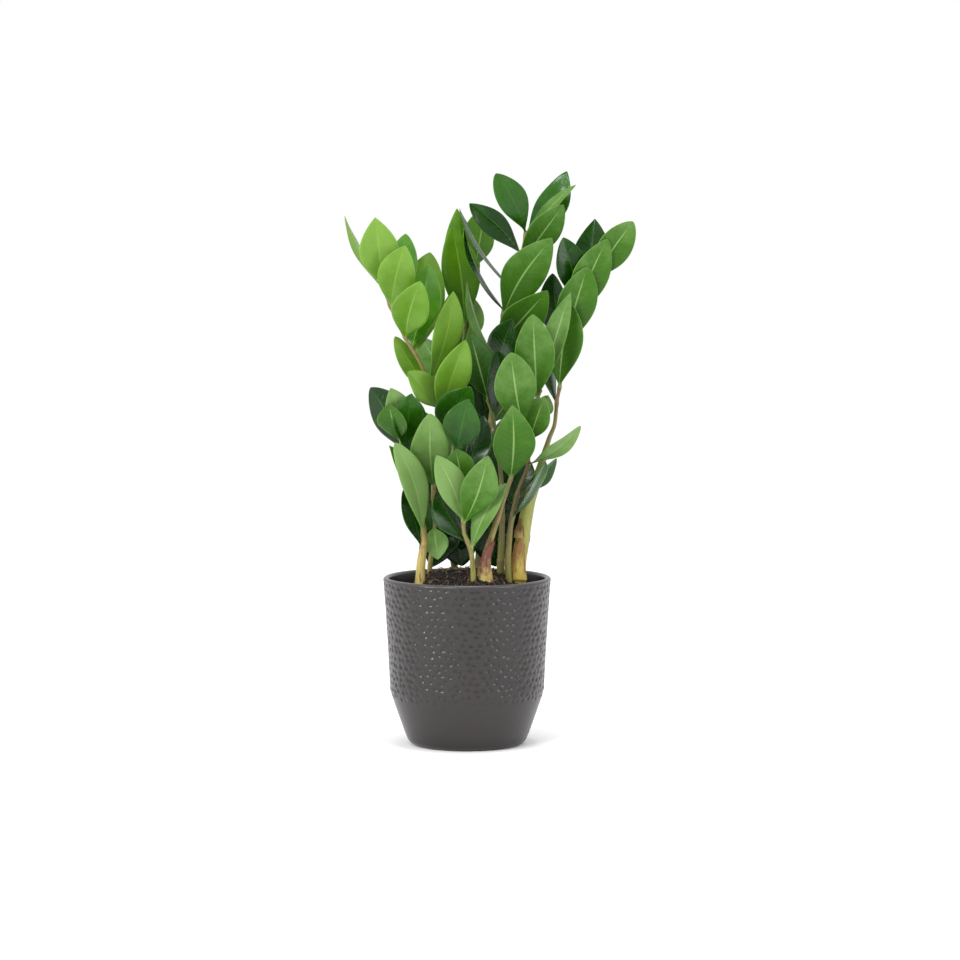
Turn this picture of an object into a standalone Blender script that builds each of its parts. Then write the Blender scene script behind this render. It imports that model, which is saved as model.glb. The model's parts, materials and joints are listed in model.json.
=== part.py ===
"""Potted ZZ plant (Zamioculcas) in a glazed ceramic cover pot, modelled in metres with +Z up.

The origin is the centre of the cover pot's flat foot. The front of the plant faces -Y. The cover pot holds
a plain nursery pot, the nursery pot holds a root ball of compost, and the stems stand in sockets in the
compost. Each stem carries leaflets in two rows. Leaflets that show are separate solids, 0.4 mm clear of their
stem, and the shaded ones inside the crown are grown onto their stem as one solid. Dry sheaths stand round
some stem feet.
"""

import math
from itertools import pairwise

import bmesh
import bpy
from mathutils import Matrix, Vector

MM = 0.001
GAP = 0.0004

# Driving dimensions of the cover pot
POT_HEIGHT = 0.140
POT_RIM_RADIUS = 0.070
POT_KINK_RADIUS = 0.0646
POT_KINK_HEIGHT = 0.047
POT_FLARE = 1.25
POT_FOOT_RADIUS = 0.043
POT_FOOT_ROUND = 0.0075
POT_CONE_START = 0.0475
POT_WALL = 0.005
POT_FLOOR = 0.006
POT_FLOOR_ROUND = 0.004
POT_STEPS = 44

# Nursery pot and root ball, both set out from the cover pot
NURSERY_TOP = 0.122
NURSERY_RIM_RADIUS = 0.0590
NURSERY_RIM_DEPTH = 0.008
NURSERY_TOP_RADIUS = 0.056
NURSERY_FOOT_RADIUS = 0.0395
NURSERY_WALL = 0.0013
DRAIN_HOLE_RADIUS = 0.004
DRAIN_HOLE_CIRCLE = 0.028
DRAIN_HOLES = 5
MOUND_TOP = 0.1445
MOUND_EDGE = 0.117
TURN_STEPS = 28

# Leaflets
BLADE_THICKNESS = 0.0010
BLADE_ARCH = 0.05
BLADE_FOLD = math.radians(8)
PETIOLE_HALF_WIDTH = 0.0009
TIP_HALF_WIDTH = 0.0004
BLADE_ROWS = 6
FOOT_CLEARANCE = GAP + BLADE_THICKNESS
GROWN_ON_DEPTH = 0.0008

SHEATH_THICKNESS = 0.0005
SHEATH_RAGGED = 0.0015

# How fast a stem's swollen foot thins out: 1 is a straight taper
STEM_TAPER = 1.6

# Each stem is its foot radius and top radius, then the points of its centre line in mm. The first point is
# its foot, 108 mm up, buried in the compost.
STEMS = {
    "stem_front": (2.8, 1.4, [
        (5, -34, 108), (5, -34, 134), (5, -34, 150), (3, -36, 167), (-2, -36, 179), (-3, -36, 190),
        (-4, -36, 211), (-4, -36, 231), (-9, -36, 246)
    ]),
    "stem_sheathed": (4.4, 1.4, [
        (15, -26, 108), (15, -26, 133), (14, -26, 153), (17, -27, 166), (25, -28, 190),
        (30, -28, 206), (39, -26, 232), (44, -26, 247), (46, -26, 267)
    ]),
    "stem_low_left": (5.4, 1.4, [
        (-39, -18, 108), (-39, -18, 132), (-38, -18, 153), (-36, -18, 169), (-37, -18, 186),
        (-41, -19, 202), (-45, -19, 219), (-51, -20, 237), (-54, -21, 251), (-54, -22, 266)
    ]),
    "stem_mid_right": (3.4, 1.5, [
        (35, -14, 108), (35, -14, 131), (34, -14, 152), (35, -15, 172), (37, -15, 189),
        (43, -14, 214), (50, -15, 232), (51, -14, 247), (54, -14, 267), (58, -13, 288),
        (61, -13, 297)
    ]),
    "stem_inner": (4.0, 1.5, [
        (28, -2, 108), (28, -2, 150), (29, -1, 180), (29, 0, 212), (26, 3, 246), (21, 6, 275),
        (17, 7, 288)
    ]),
    "stem_right": (6.4, 1.1, [
        (43, -6, 108), (43, -6, 147), (45, -5, 163), (48, -4, 184), (52, -3, 204), (58, -1, 221),
        (68, 4, 254), (73, 6, 267), (75, 8, 287), (77, 9, 297), (82, 11, 329), (90, 13, 358),
        (101, 13, 379), (111, 11, 400), (118, 10, 412)
    ]),
    "stem_tall_left": (2.4, 1.2, [
        (-31, 4, 108), (-31, 4, 129), (-31, 4, 149), (-28, 3, 170), (-28, 3, 191), (-28, 2, 212),
        (-25, 1, 237), (-21, 0, 269), (-25, -1, 286), (-31, -3, 301), (-41, -5, 323),
        (-51, -6, 339), (-62, -7, 362), (-67, -7, 375), (-70, -7, 383)
    ]),
    "stem_crown": (3.8, 1.3, [
        (9, 18, 108), (9, 18, 127), (10, 18, 152), (12, 21, 185), (14, 24, 219), (18, 28, 253),
        (22, 31, 287), (26, 33, 316), (29, 33, 342), (30, 33, 358), (34, 32, 369), (39, 29, 388),
        (45, 27, 406), (48, 25, 420), (49, 26, 426)
    ]),
    "stem_back": (3.4, 1.0, [
        (-10, 30, 108), (-10, 30, 125), (-11, 30, 150), (-13, 34, 184), (-13, 39, 218),
        (-10, 44, 261), (-6, 50, 303), (-3, 55, 337), (0, 58, 363), (3, 59, 380), (7, 59, 396)
    ]),
}

# Each leaflet is the height of its node on the stem, its tip, its width (mm) and its twist (degrees).
LEAFLETS = {
    "stem_tall_left": {
        "lime_leaflet_1": (385, (-75, -30, 439), 33, 0),
        "lime_leaflet_2": (365, (-51, -36, 416), 31, 0),
        "lime_leaflet_3": (339, (-38, -55, 387), 31, 0),
        "lime_leaflet_4": (331, (-31, 0, 400), 32, 8),
        "lime_leaflet_5": (325, (-31, 40, 408), 42, 0),
        "lime_leaflet_6": (303, (-11, -17, 378), 28, 35),
        "lime_leaflet_7": (273, (-1, -31, 338), 29, 16),
        "lime_leaflet_8": (280, (-48, -24, 312), 24, 34),
        "shade_leaflet_1": (260, (3, -42, 301), 31, 6),
        "sage_leaflet_1": (215, (-30, -52, 278), 33, 4),
    },
    "stem_back": {
        "back_leaflet_1": (361, (-9, 84, 445), 31, 12),
        "back_leaflet_2": (346, (-13, 50, 430), 33, 12),
        "back_leaflet_3": (396, (16, 80, 447), 31, 30),
    },
    "stem_crown": {
        "crown_leaflet_1": (426, (24, 8, 475), 25, 0),
        "crown_leaflet_2": (427, (84, 38, 476), 28, -24),
        "crown_leaflet_3": (423, (90, 22, 466), 14, -50),
        "crown_leaflet_4": (398, (80, 11, 449), 27, 20),
        "crown_leaflet_5": (408, (2, 30, 450), 24, 30),
        "crown_leaflet_6": (380, (-6, 27, 446), 24, 80),
        "crown_leaflet_7": (361, (-4, 26, 429), 24, 80),
        "crown_leaflet_8": (316, (-1, 8, 387), 24, 74),
        "crown_leaflet_9": (356, (70, -11, 421), 35, 0),
        "crown_leaflet_10": (333, (66, -30, 379), 33, 15),
    },
    "stem_inner": {
        "shade_leaflet_2": (287, (3, 3, 342), 30, 0),
        "shade_leaflet_3": (275, (25, -15, 329), 31, 40),
    },
    "stem_right": {
        "right_leaflet_1": (375, (107, 40, 437), 32, -12),
        "right_leaflet_2": (366, (80, 3, 422), 27, 14),
        "right_leaflet_3": (385, (138, 12, 435), 29, 14),
        "right_leaflet_4": (352, (116, 2, 421), 31, 16),
        "right_leaflet_5": (329, (100, -3, 398), 33, 14),
        "right_leaflet_6": (297, (86, -6, 367), 33, -8),
    },
    "stem_mid_right": {
        "middle_leaflet_1": (288, (54, -43, 360), 33, 0),
        "middle_leaflet_2": (297, (85, -15, 377), 21, -26),
        "middle_leaflet_3": (255, (64, -34, 292), 25, -20),
        "middle_leaflet_4": (235, (93, -49, 269), 19, 45),
    },
    "stem_sheathed": {
        "middle_leaflet_5": (270, (36, -54, 329), 35, 8),
        "middle_leaflet_6": (224, (37, -57, 287), 35, 8),
    },
    "stem_front": {
        "front_leaflet_1": (190, (-25, -60, 246), 25, 18),
        "front_leaflet_2": (188, (17, -67, 246), 30, 8),
        "front_leaflet_3": (167, (32, -44, 222), 24, -40),
        "front_leaflet_4": (248, (1, -54, 291), 31, -8),
    },
    "stem_low_left": {
        "low_leaflet_1": (247, (-80, -3, 298), 34, -26),
        "low_leaflet_2": (221, (-46, 14, 292), 29, 40),
        "low_leaflet_3": (178, (-58, -48, 255), 25, 30),
    },
}

# Small or shaded leaflets that are one piece with their stem
GROWN_ON = {
    "stem_inner": [
        (238, (54, 26, 292), 28, -20),
        (214, (-4, 24, 266), 28, 20),
        (188, (52, 18, 236), 26, -30),
    ],
    "stem_tall_left": [
        (379, (-101, 11, 440), 24, 77),
        (367, (-51, 34, 424), 29, -16),
        (286, (-60, 0, 340), 18, 20),
        (175, (-44, -6, 210), 24, 47),
        (182, (-24, -14, 156), 21, 0),
    ],
    "stem_back": [
        (327, (6, 72, 369), 29, -45),
        (290, (-40, 97, 336), 31, 20),
        (262, (24, 98, 312), 31, -20),
        (228, (-44, 91, 276), 31, 25),
        (205, (26, 92, 252), 31, -25),
    ],
    "stem_crown": [
        (310, (77, 61, 375), 31, 49),
        (305, (38, -22, 356), 29, -30),
        (265, (52, 72, 312), 31, -20),
        (232, (48, 72, 280), 31, -30),
    ],
    "stem_right": [
        (406, (138, 30, 433), 20, 60),
        (329, (71, 35, 391), 29, 25),
        (284, (71, 16, 339), 26, 56),
    ],
    "stem_mid_right": [
        (273, (67, -13, 292), 22, -48),
        (209, (74, -13, 240), 20, 50),
        (192, (64, -34, 239), 22, 65),
    ],
    "stem_front": [
        (172, (-25, -36, 215), 29, 50),
        (214, (-9, -48, 250), 26, 20),
        (227, (14, -29, 276), 29, -50),
    ],
    "stem_low_left": [
        (256, (-64, -40, 286), 27, -30),
        (251, (-46, -31, 294), 31, 30),
        (264, (-62, -29, 299), 24, 30),
        (202, (-63, -31, 252), 24, 58),
        (167, (-53, -19, 214), 24, 40),
    ],
}

# Dry sheaths: the stem, the heights of the lower and upper edge, where the open side faces and how far it
# wraps (degrees), and how far its foot and its mouth stand off the stem (mm)
SHEATHS = {
    "sheath_brown": ("stem_sheathed", 147, 172, 100, 300, 2.2, 0.6),
    "sheath_right": ("stem_right", 148, 170, 55, 200, 0.6, 0.4),
    "sheath_upper_right": ("stem_right", 173, 189, 40, 120, 0.4, 1.2),
}

# Colours as (red, green, blue), roughness and metallic value
FINISHES = {
    "glazed_stoneware": ((0.085, 0.078, 0.078), 0.35, 0.0),
    "black_polypropylene": ((0.02, 0.02, 0.02), 0.6, 0.0),
    "compost": ((0.03, 0.018, 0.012), 0.95, 0.0),
    "green_stem": ((0.26, 0.25, 0.08), 0.45, 0.0),
    "young_leaf": ((0.16, 0.43, 0.02), 0.35, 0.0),
    "mature_leaf": ((0.12, 0.28, 0.05), 0.35, 0.0),
    "dark_leaf": ((0.02, 0.10, 0.02), 0.2, 0.0),
    "dry_sheath": ((0.21, 0.10, 0.06), 0.8, 0.0),
}
LEAF_FINISHES = {"lime": "young_leaf", "shade": "dark_leaf", "crown": "dark_leaf"}


def clear_scene():
    for old in list(bpy.data.objects):
        bpy.data.objects.remove(old, do_unlink=True)


def new_collection(name):
    made = bpy.data.collections.new(name)
    bpy.context.scene.collection.children.link(made)
    return made


def new_finish(name):
    colour, roughness, metallic = FINISHES[name]
    finish = bpy.data.materials.new(name)
    finish.use_nodes = True
    shader = finish.node_tree.nodes["Principled BSDF"]
    shader.inputs["Base Color"].default_value = (*colour, 1.0)
    shader.inputs["Roughness"].default_value = roughness
    shader.inputs["Metallic"].default_value = metallic
    return finish


def new_piece(name, data, collection, finish):
    piece = bpy.data.objects.new(name, data)
    piece.data.materials.append(finish)
    collection.objects.link(piece)
    return piece


def hide_guide(guide):
    guide.hide_render = True
    guide.display_type = "WIRE"


def mesh_of(curve_piece):
    """Swaps a bevelled curve for the mesh it draws, with its caps welded on."""
    graph = bpy.context.evaluated_depsgraph_get()
    mesh = bpy.data.meshes.new_from_object(curve_piece.evaluated_get(graph))
    welded = bmesh.new()
    welded.from_mesh(mesh)
    bmesh.ops.remove_doubles(welded, verts=welded.verts, dist=1e-5)
    bmesh.ops.recalc_face_normals(welded, faces=welded.faces)
    welded.to_mesh(mesh)
    welded.free()
    mesh.shade_smooth()
    piece = bpy.data.objects.new(curve_piece.name, mesh)
    piece.matrix_world = curve_piece.matrix_world
    curve_piece.users_collection[0].objects.link(piece)
    name = curve_piece.name
    bpy.data.objects.remove(curve_piece, do_unlink=True)
    piece.name = name
    return piece


def boolean(target, operation, other):
    change = target.modifiers.new(f"{operation.lower()} {other.name}", "BOOLEAN")
    change.operation = operation
    change.object = other
    hide_guide(other)


def turned(name, profile, steps, collection, finish):
    """A solid of revolution; the profile runs from the axis inside, over the top and down the outer side."""
    mesh = bpy.data.meshes.new(name)
    mesh.from_pydata([(r, 0.0, z) for r, z in profile], [(i, i + 1) for i in range(len(profile) - 1)], [])
    piece = new_piece(name, mesh, collection, finish)
    turn = piece.modifiers.new("turn", "SCREW")
    turn.steps = steps
    turn.render_steps = steps
    turn.use_merge_vertices = True
    turn.merge_threshold = 1e-5
    return piece


def arc(centre, radius, start, end, count):
    """Points (r, z) on an arc whose angles are in degrees from +r towards +z."""
    turns = [math.radians(start + (end - start) * i / (count - 1)) for i in range(count)]
    return [(centre[0] + radius * math.cos(a), centre[1] + radius * math.sin(a)) for a in turns]


def pot_outer_radius(height):
    """Outer radius of the cover pot: a steep cone up to the kink, then a slight flare to the rim."""
    if height <= POT_KINK_HEIGHT:
        return POT_CONE_START + (POT_KINK_RADIUS - POT_CONE_START) * height / POT_KINK_HEIGHT
    share = (height - POT_KINK_HEIGHT) / (POT_HEIGHT - POT_KINK_HEIGHT)
    return POT_KINK_RADIUS + (POT_RIM_RADIUS - POT_KINK_RADIUS) * share ** POT_FLARE


def pot_profile():
    lip = POT_WALL / 2
    inside = [(pot_outer_radius(z) - POT_WALL, z) for z in (0.016, 0.030, 0.044, 0.050, 0.080, 0.110)]
    floor_corner = arc((0.040, POT_FLOOR + POT_FLOOR_ROUND), POT_FLOOR_ROUND, -90, -20, 3)
    over_lip = arc((POT_RIM_RADIUS - lip, POT_HEIGHT - lip), lip, 180, 0, 7)
    outside = [(pot_outer_radius(z), z) for z in (0.120, 0.100, 0.080, 0.060, 0.050, 0.046, 0.040, 0.025)]
    foot = arc((POT_FOOT_RADIUS, POT_FOOT_ROUND), POT_FOOT_ROUND, -15, -90, 5)
    return [(0.0, POT_FLOOR), *floor_corner, *inside, *over_lip, *outside, *foot, (0.0, 0.0)]


def nursery_radius(height):
    """Outer radius of the nursery pot's wall, under its thicker rim."""
    share = (height - POT_FLOOR) / (NURSERY_TOP - POT_FLOOR)
    return NURSERY_FOOT_RADIUS + (NURSERY_TOP_RADIUS - NURSERY_FOOT_RADIUS) * share


def build_nursery_pot(parts, cutters, finish):
    base = POT_FLOOR + GAP
    floor = base + NURSERY_WALL
    inner = [(nursery_radius(z) - NURSERY_WALL, z) for z in (floor, NURSERY_TOP)]
    under_rim = NURSERY_TOP - NURSERY_RIM_DEPTH
    rim = [(NURSERY_RIM_RADIUS, NURSERY_TOP), (NURSERY_RIM_RADIUS, under_rim)]
    outer = [(nursery_radius(under_rim), under_rim), (nursery_radius(base), base)]
    pot = turned("nursery_pot", [(0.0, floor), *inner, *rim, *outer, (0.0, base)], TURN_STEPS, parts, finish)
    for i in range(DRAIN_HOLES):
        turn = 2 * math.pi * i / DRAIN_HOLES
        drill = bmesh.new()
        bmesh.ops.create_cone(drill, cap_ends=True, segments=12, radius1=DRAIN_HOLE_RADIUS,
                              radius2=DRAIN_HOLE_RADIUS, depth=0.01)
        mesh = bpy.data.meshes.new("drain")
        drill.to_mesh(mesh)
        drill.free()
        hole = new_piece(f"drain_cutter_{i + 1}", mesh, cutters, finish)
        hole.location = (DRAIN_HOLE_CIRCLE * math.cos(turn), DRAIN_HOLE_CIRCLE * math.sin(turn), floor)
        boolean(pot, "DIFFERENCE", hole)


def soil_profile():
    """The root ball's side follows the nursery pot, and the crest of its mound stands above both rims."""
    floor = POT_FLOOR + NURSERY_WALL + 2 * GAP
    side = [(nursery_radius(z) - NURSERY_WALL - GAP, z) for z in (floor, MOUND_EDGE)]
    mound = [(0.0, MOUND_TOP), (0.018, MOUND_TOP - 0.0005), (0.032, MOUND_TOP - 0.003),
             (0.043, MOUND_TOP - 0.009), (0.050, MOUND_TOP - 0.018)]
    return [*mound, *reversed(side), (0.0, floor)]


def smooth_route(points, per_span):
    """Catmull-Rom points through a list of points."""
    ends = [2 * points[0] - points[1], *points, 2 * points[-1] - points[-2]]
    route = []
    for before, a, b, after in zip(ends, ends[1:], ends[2:], ends[3:]):
        for i in range(per_span):
            t = i / per_span
            route.append(0.5 * (2 * a + (b - before) * t + (2 * before - 5 * a + 4 * b - after) * t ** 2
                                + (3 * a - before - 3 * b + after) * t ** 3))
    return [*route, points[-1]]


class Stem:
    """A stem's centre line and thickness, read by height."""

    def __init__(self, foot_radius, top_radius, points):
        self.route = smooth_route([Vector(p) * MM for p in points], 2)
        self.radii = (foot_radius * MM, top_radius * MM)

    def radius(self, height):
        low, high = self.route[0].z, self.route[-1].z
        left = min(1.0, max(0.0, (high - height) / (high - low)))
        return self.radii[1] + (self.radii[0] - self.radii[1]) * left ** STEM_TAPER

    def at(self, height):
        """The centre and the direction of the stem at a height."""
        for a, b in pairwise(self.route):
            if height <= b.z or b is self.route[-1]:
                share = min(1.0, max(0.0, (height - a.z) / (b.z - a.z)))
                return a.lerp(b, share), (b - a).normalized()
        raise ValueError("the stem has no points")


def stem_curve(name, stem, grow, collection, finish):
    curve = bpy.data.curves.new(name, "CURVE")
    curve.dimensions = "3D"
    curve.bevel_depth = 1.0
    curve.bevel_resolution = 2
    curve.use_fill_caps = True
    spline = curve.splines.new("POLY")
    spline.points.add(len(stem.route) - 1)
    for point, place in zip(spline.points, stem.route):
        point.co = (*place, 1.0)
        point.radius = stem.radius(place.z) + grow
    return new_piece(name, curve, collection, finish)


def blade_half_width(share, width):
    """Half the width at a share of the length: narrow foot, widest below the middle, pointed tip."""
    full = width / 2 * max(0.0, math.sin(math.pi * share ** 0.9)) ** 0.78
    least = PETIOLE_HALF_WIDTH + (TIP_HALF_WIDTH - PETIOLE_HALF_WIDTH) * share
    return max(full, least)


def leaflet(name, stem, row, clearance, collection, finish):
    """An arched, slightly folded blade from its node on the stem to its tip, as a thin closed solid."""
    node, tip, width, twist = row
    centre, along = stem.at(node * MM)
    tip = Vector(tip) * MM
    side = 1.0 if tip.y > centre.y else -1.0
    outward = (tip - centre).normalized()
    away = (outward - outward.dot(along) * along).normalized() + Vector((0.0, side, 0.0))
    away = (away - away.dot(along) * along).normalized()
    foot = centre + away * (stem.radius(centre.z) + clearance)
    axis = (tip - foot).normalized()
    length = (tip - foot).length
    face = Vector((0.0, -1.0, 0.0))
    face = (face - face.dot(axis) * axis).normalized()
    face = Matrix.Rotation(math.radians(twist), 3, axis) @ face
    across = axis.cross(face)
    arch = BLADE_ARCH * length * (1.0 if face.dot(away) >= 0 else -1.0)
    blade = bmesh.new()
    bmesh.ops.create_grid(blade, x_segments=2, y_segments=BLADE_ROWS, size=1.0)
    for point in blade.verts:
        share = (1 - math.cos(math.pi * (point.co.y + 1) / 2)) / 2
        reach = point.co.x * blade_half_width(share, width * MM)
        lift = arch * 4 * share * (1 - share) + abs(reach) * math.tan(BLADE_FOLD) * math.copysign(1.0, arch)
        point.co = foot + axis * length * share + across * reach + face * lift
    mesh = bpy.data.meshes.new(name)
    blade.to_mesh(mesh)
    blade.free()
    mesh.shade_smooth()
    piece = new_piece(name, mesh, collection, finish)
    wall = piece.modifiers.new("thickness", "SOLIDIFY")
    wall.thickness = BLADE_THICKNESS
    wall.offset = 0.0
    return piece


def sheath(name, stem, low, high, facing, wrap, foot_off, mouth_off, collection, finish):
    """A curled strip of dry skin that stands round the stem, open on one side."""
    strip = bmesh.new()
    bmesh.ops.create_grid(strip, x_segments=10, y_segments=4, size=1.0)
    for point in strip.verts:
        share = (point.co.y + 1) / 2
        height = (low + (high - low) * share) * MM
        centre, _ = stem.at(height)
        turn = math.radians(facing + 180 + wrap / 2 * point.co.x)
        off = (foot_off + (mouth_off - foot_off) * share) * MM
        reach = stem.radius(height) + GAP + SHEATH_THICKNESS + off
        ragged = SHEATH_RAGGED * math.sin(3 * point.co.x + 1) * share
        point.co = (centre.x + reach * math.cos(turn), centre.y + reach * math.sin(turn), height + ragged)
    bmesh.ops.recalc_face_normals(strip, faces=strip.faces)
    mesh = bpy.data.meshes.new(name)
    strip.to_mesh(mesh)
    strip.free()
    mesh.shade_smooth()
    piece = new_piece(name, mesh, collection, finish)
    wall = piece.modifiers.new("thickness", "SOLIDIFY")
    wall.thickness = SHEATH_THICKNESS
    wall.offset = 0.0


def build():
    clear_scene()
    parts = new_collection("potted_zz_plant")
    cutters = new_collection("cutters")
    finishes = {name: new_finish(name) for name in FINISHES}
    turned("cover_pot", pot_profile(), POT_STEPS, parts, finishes["glazed_stoneware"])
    build_nursery_pot(parts, cutters, finishes["black_polypropylene"])
    soil = turned("root_ball", soil_profile(), TURN_STEPS, parts, finishes["compost"])
    stems = {name: Stem(*row) for name, row in STEMS.items()}
    for name, stem in stems.items():
        socket = mesh_of(stem_curve(f"{name}_socket", stem, GAP, cutters, finishes["compost"]))
        boolean(soil, "DIFFERENCE", socket)
        piece = mesh_of(stem_curve(name, stem, 0.0, parts, finishes["green_stem"]))
        for i, row in enumerate(GROWN_ON.get(name, [])):
            grown_name = f"{name}_leaflet_{i + 1}"
            grown = leaflet(grown_name, stem, row, -GROWN_ON_DEPTH, cutters, finishes["mature_leaf"])
            boolean(piece, "UNION", grown)
        for leaf_name, row in LEAFLETS.get(name, {}).items():
            finish = finishes[LEAF_FINISHES.get(leaf_name.split("_")[0], "mature_leaf")]
            leaflet(leaf_name, stem, row, FOOT_CLEARANCE, parts, finish)
    for name, (stem_name, *shape) in SHEATHS.items():
        sheath(name, stems[stem_name], *shape, parts, finishes["dry_sheath"])


if __name__ == "__main__":
    build()
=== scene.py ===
"""Finished look of a potted ZZ plant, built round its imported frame.

The file is laid out as an add-on with one operator for each group of pieces, and runs as a script. Every
leaflet, stem, sheath and pot surface takes the place of a plain solid of the frame, in the same position.
Lengths are in metres, except in the tables that say millimetres, with +Z up and the plant's front facing -Y.
"""

import json
import math
import random
from functools import partial
from itertools import pairwise

import bmesh
import bpy
from mathutils import Matrix, Vector, noise


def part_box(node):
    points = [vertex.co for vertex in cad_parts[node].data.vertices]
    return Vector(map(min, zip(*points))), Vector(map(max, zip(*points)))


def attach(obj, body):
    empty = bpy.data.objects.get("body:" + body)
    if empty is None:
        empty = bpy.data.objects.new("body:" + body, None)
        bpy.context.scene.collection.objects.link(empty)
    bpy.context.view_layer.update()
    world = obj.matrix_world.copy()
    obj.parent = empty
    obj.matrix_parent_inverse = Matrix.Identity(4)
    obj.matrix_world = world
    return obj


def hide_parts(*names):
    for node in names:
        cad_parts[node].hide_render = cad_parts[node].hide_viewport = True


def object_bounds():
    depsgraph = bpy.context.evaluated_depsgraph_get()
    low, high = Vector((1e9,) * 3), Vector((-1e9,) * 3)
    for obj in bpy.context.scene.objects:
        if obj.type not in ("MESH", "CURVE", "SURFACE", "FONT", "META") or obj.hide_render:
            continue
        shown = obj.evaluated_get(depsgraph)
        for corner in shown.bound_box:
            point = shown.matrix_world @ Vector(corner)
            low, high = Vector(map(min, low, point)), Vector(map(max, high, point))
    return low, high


bl_info = {
    "name": "Potted ZZ plant",
    "version": (1, 0, 0),
    "blender": (4, 5, 0),
    "location": "View3D > Sidebar > ZZ plant",
    "description": "Builds the leaflets, stems, sheaths, compost and hammered cover pot of a potted ZZ plant",
    "category": "Object",
}

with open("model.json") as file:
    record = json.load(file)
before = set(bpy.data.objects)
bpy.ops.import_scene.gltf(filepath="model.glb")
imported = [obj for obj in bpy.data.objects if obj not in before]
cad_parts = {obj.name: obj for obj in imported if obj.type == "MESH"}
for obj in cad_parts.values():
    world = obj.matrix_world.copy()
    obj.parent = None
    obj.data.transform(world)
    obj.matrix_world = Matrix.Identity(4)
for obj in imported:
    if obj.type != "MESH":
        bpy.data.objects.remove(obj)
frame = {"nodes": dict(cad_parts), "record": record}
CAD_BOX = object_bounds()
POT_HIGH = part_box("cover_pot")[1]
SOIL_LOW, SOIL_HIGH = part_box("root_ball")
BODY = "root"
MM = 0.001

# The kinds of node that come up most. A colour mix takes its share at 0 and its colours at 6 and 7, and its
# result is output 2.
MATH = "ShaderNodeMath"
VECTOR_MATH = "ShaderNodeVectorMath"
MIX = "ShaderNodeMix"
MAP_RANGE = "ShaderNodeMapRange"
NOISE = "ShaderNodeTexNoise"
ATTRIBUTE = "ShaderNodeAttribute"
BUMP = "ShaderNodeBump"

# Stems --------------------------------------------------------------------------------------------

# A stem keeps its thickness low down and thins faster than in step with its height.
STEM_TAPER = 1.6
# Heights in mm between which a thick, fleshy foot thins to the upper stem
STEM_THINS = {"stem_right": (185, 270)}
THIN_SHARE = 0.65
RING_SPACING = 0.0015
STEM_SIDES = 18
STEM_DENT = 0.0004
# A leaflet's scar is a dark ring, and the stem swells a little round its node.
SCAR_REACH = 0.0016
SWELL_REACH = 0.0022
SWELL_RADIUS = 0.00045
SWELL_LIMIT = 1.2

# Each stem is its foot radius and top radius, then the points of its centre line, all in mm.
STEMS = {
    "stem_front": (2.8, 1.4, [
        (5, -34, 108), (5, -34, 134), (5, -34, 150), (3, -36, 167), (-2, -36, 179), (-3, -36, 190),
        (-4, -36, 211), (-4, -36, 231), (-9, -36, 246)
    ]),
    "stem_sheathed": (4.4, 1.4, [
        (15, -26, 108), (15, -26, 133), (14, -26, 153), (17, -27, 166), (25, -28, 190), (30, -28, 206),
        (39, -26, 232), (44, -26, 247), (46, -26, 267)
    ]),
    "stem_low_left": (5.4, 1.4, [
        (-39, -18, 108), (-39, -18, 132), (-38, -18, 153), (-36, -18, 169), (-37, -18, 186),
        (-41, -19, 202), (-45, -19, 219), (-51, -20, 237), (-54, -21, 251), (-54, -22, 266)
    ]),
    "stem_mid_right": (3.4, 1.5, [
        (35, -14, 108), (35, -14, 131), (34, -14, 152), (35, -15, 172), (37, -15, 189), (43, -14, 214),
        (50, -15, 232), (51, -14, 247), (54, -14, 267), (58, -13, 288), (61, -13, 297)
    ]),
    "stem_inner": (4.0, 1.5, [
        (28, -2, 108), (28, -2, 150), (29, -1, 180), (29, 0, 212), (26, 3, 246), (21, 6, 275), (17, 7, 288)
    ]),
    "stem_right": (6.4, 1.1, [
        (43, -6, 108), (43, -6, 147), (45, -5, 163), (48, -4, 184), (52, -3, 204), (58, -1, 221),
        (68, 4, 254), (73, 6, 267), (75, 8, 287), (77, 9, 297), (82, 11, 329), (90, 13, 358),
        (101, 13, 379), (111, 11, 400), (118, 10, 412)
    ]),
    "stem_tall_left": (2.4, 1.2, [
        (-31, 4, 108), (-31, 4, 129), (-31, 4, 149), (-28, 3, 170), (-28, 3, 191), (-28, 2, 212),
        (-25, 1, 237), (-21, 0, 269), (-25, -1, 286), (-31, -3, 301), (-41, -5, 323), (-51, -6, 339),
        (-62, -7, 362), (-67, -7, 375), (-70, -7, 383)
    ]),
    "stem_crown": (3.8, 1.3, [
        (9, 18, 108), (9, 18, 127), (10, 18, 152), (12, 21, 185), (14, 24, 219), (18, 28, 253),
        (22, 31, 287), (26, 33, 316), (29, 33, 342), (30, 33, 358), (34, 32, 369), (39, 29, 388),
        (45, 27, 406), (48, 25, 420), (49, 26, 426)
    ]),
    "stem_back": (3.4, 1.0, [
        (-10, 30, 108), (-10, 30, 125), (-11, 30, 150), (-13, 34, 184), (-13, 39, 218), (-10, 44, 261),
        (-6, 50, 303), (-3, 55, 337), (0, 58, 363), (3, 59, 380), (7, 59, 396)
    ]),
}

# The skin of each stem: its colour at the foot, a hand's width up, and at the crown
STEM_SKINS = {
    "stem_front": ("#8F8B3F", "#6C683B", "#5F6833"),
    "stem_sheathed": ("#9A9447", "#78683E", "#6B7538"),
    "stem_low_left": ("#B5A55A", "#84693D", "#5F7533"),
    "stem_mid_right": ("#7A7430", "#625833", "#775E41"),
    "stem_inner": ("#77722C", "#585A2E", "#5D6E32"),
    "stem_right": ("#9A8E34", "#858A42", "#6C5636"),
    "stem_tall_left": ("#8B833F", "#7B6841", "#78683D"),
    "stem_crown": ("#7A833B", "#697537", "#8A773B"),
    "stem_back": ("#7A833B", "#5F7533", "#697537"),
}

# Leaflets -----------------------------------------------------------------------------------------

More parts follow.
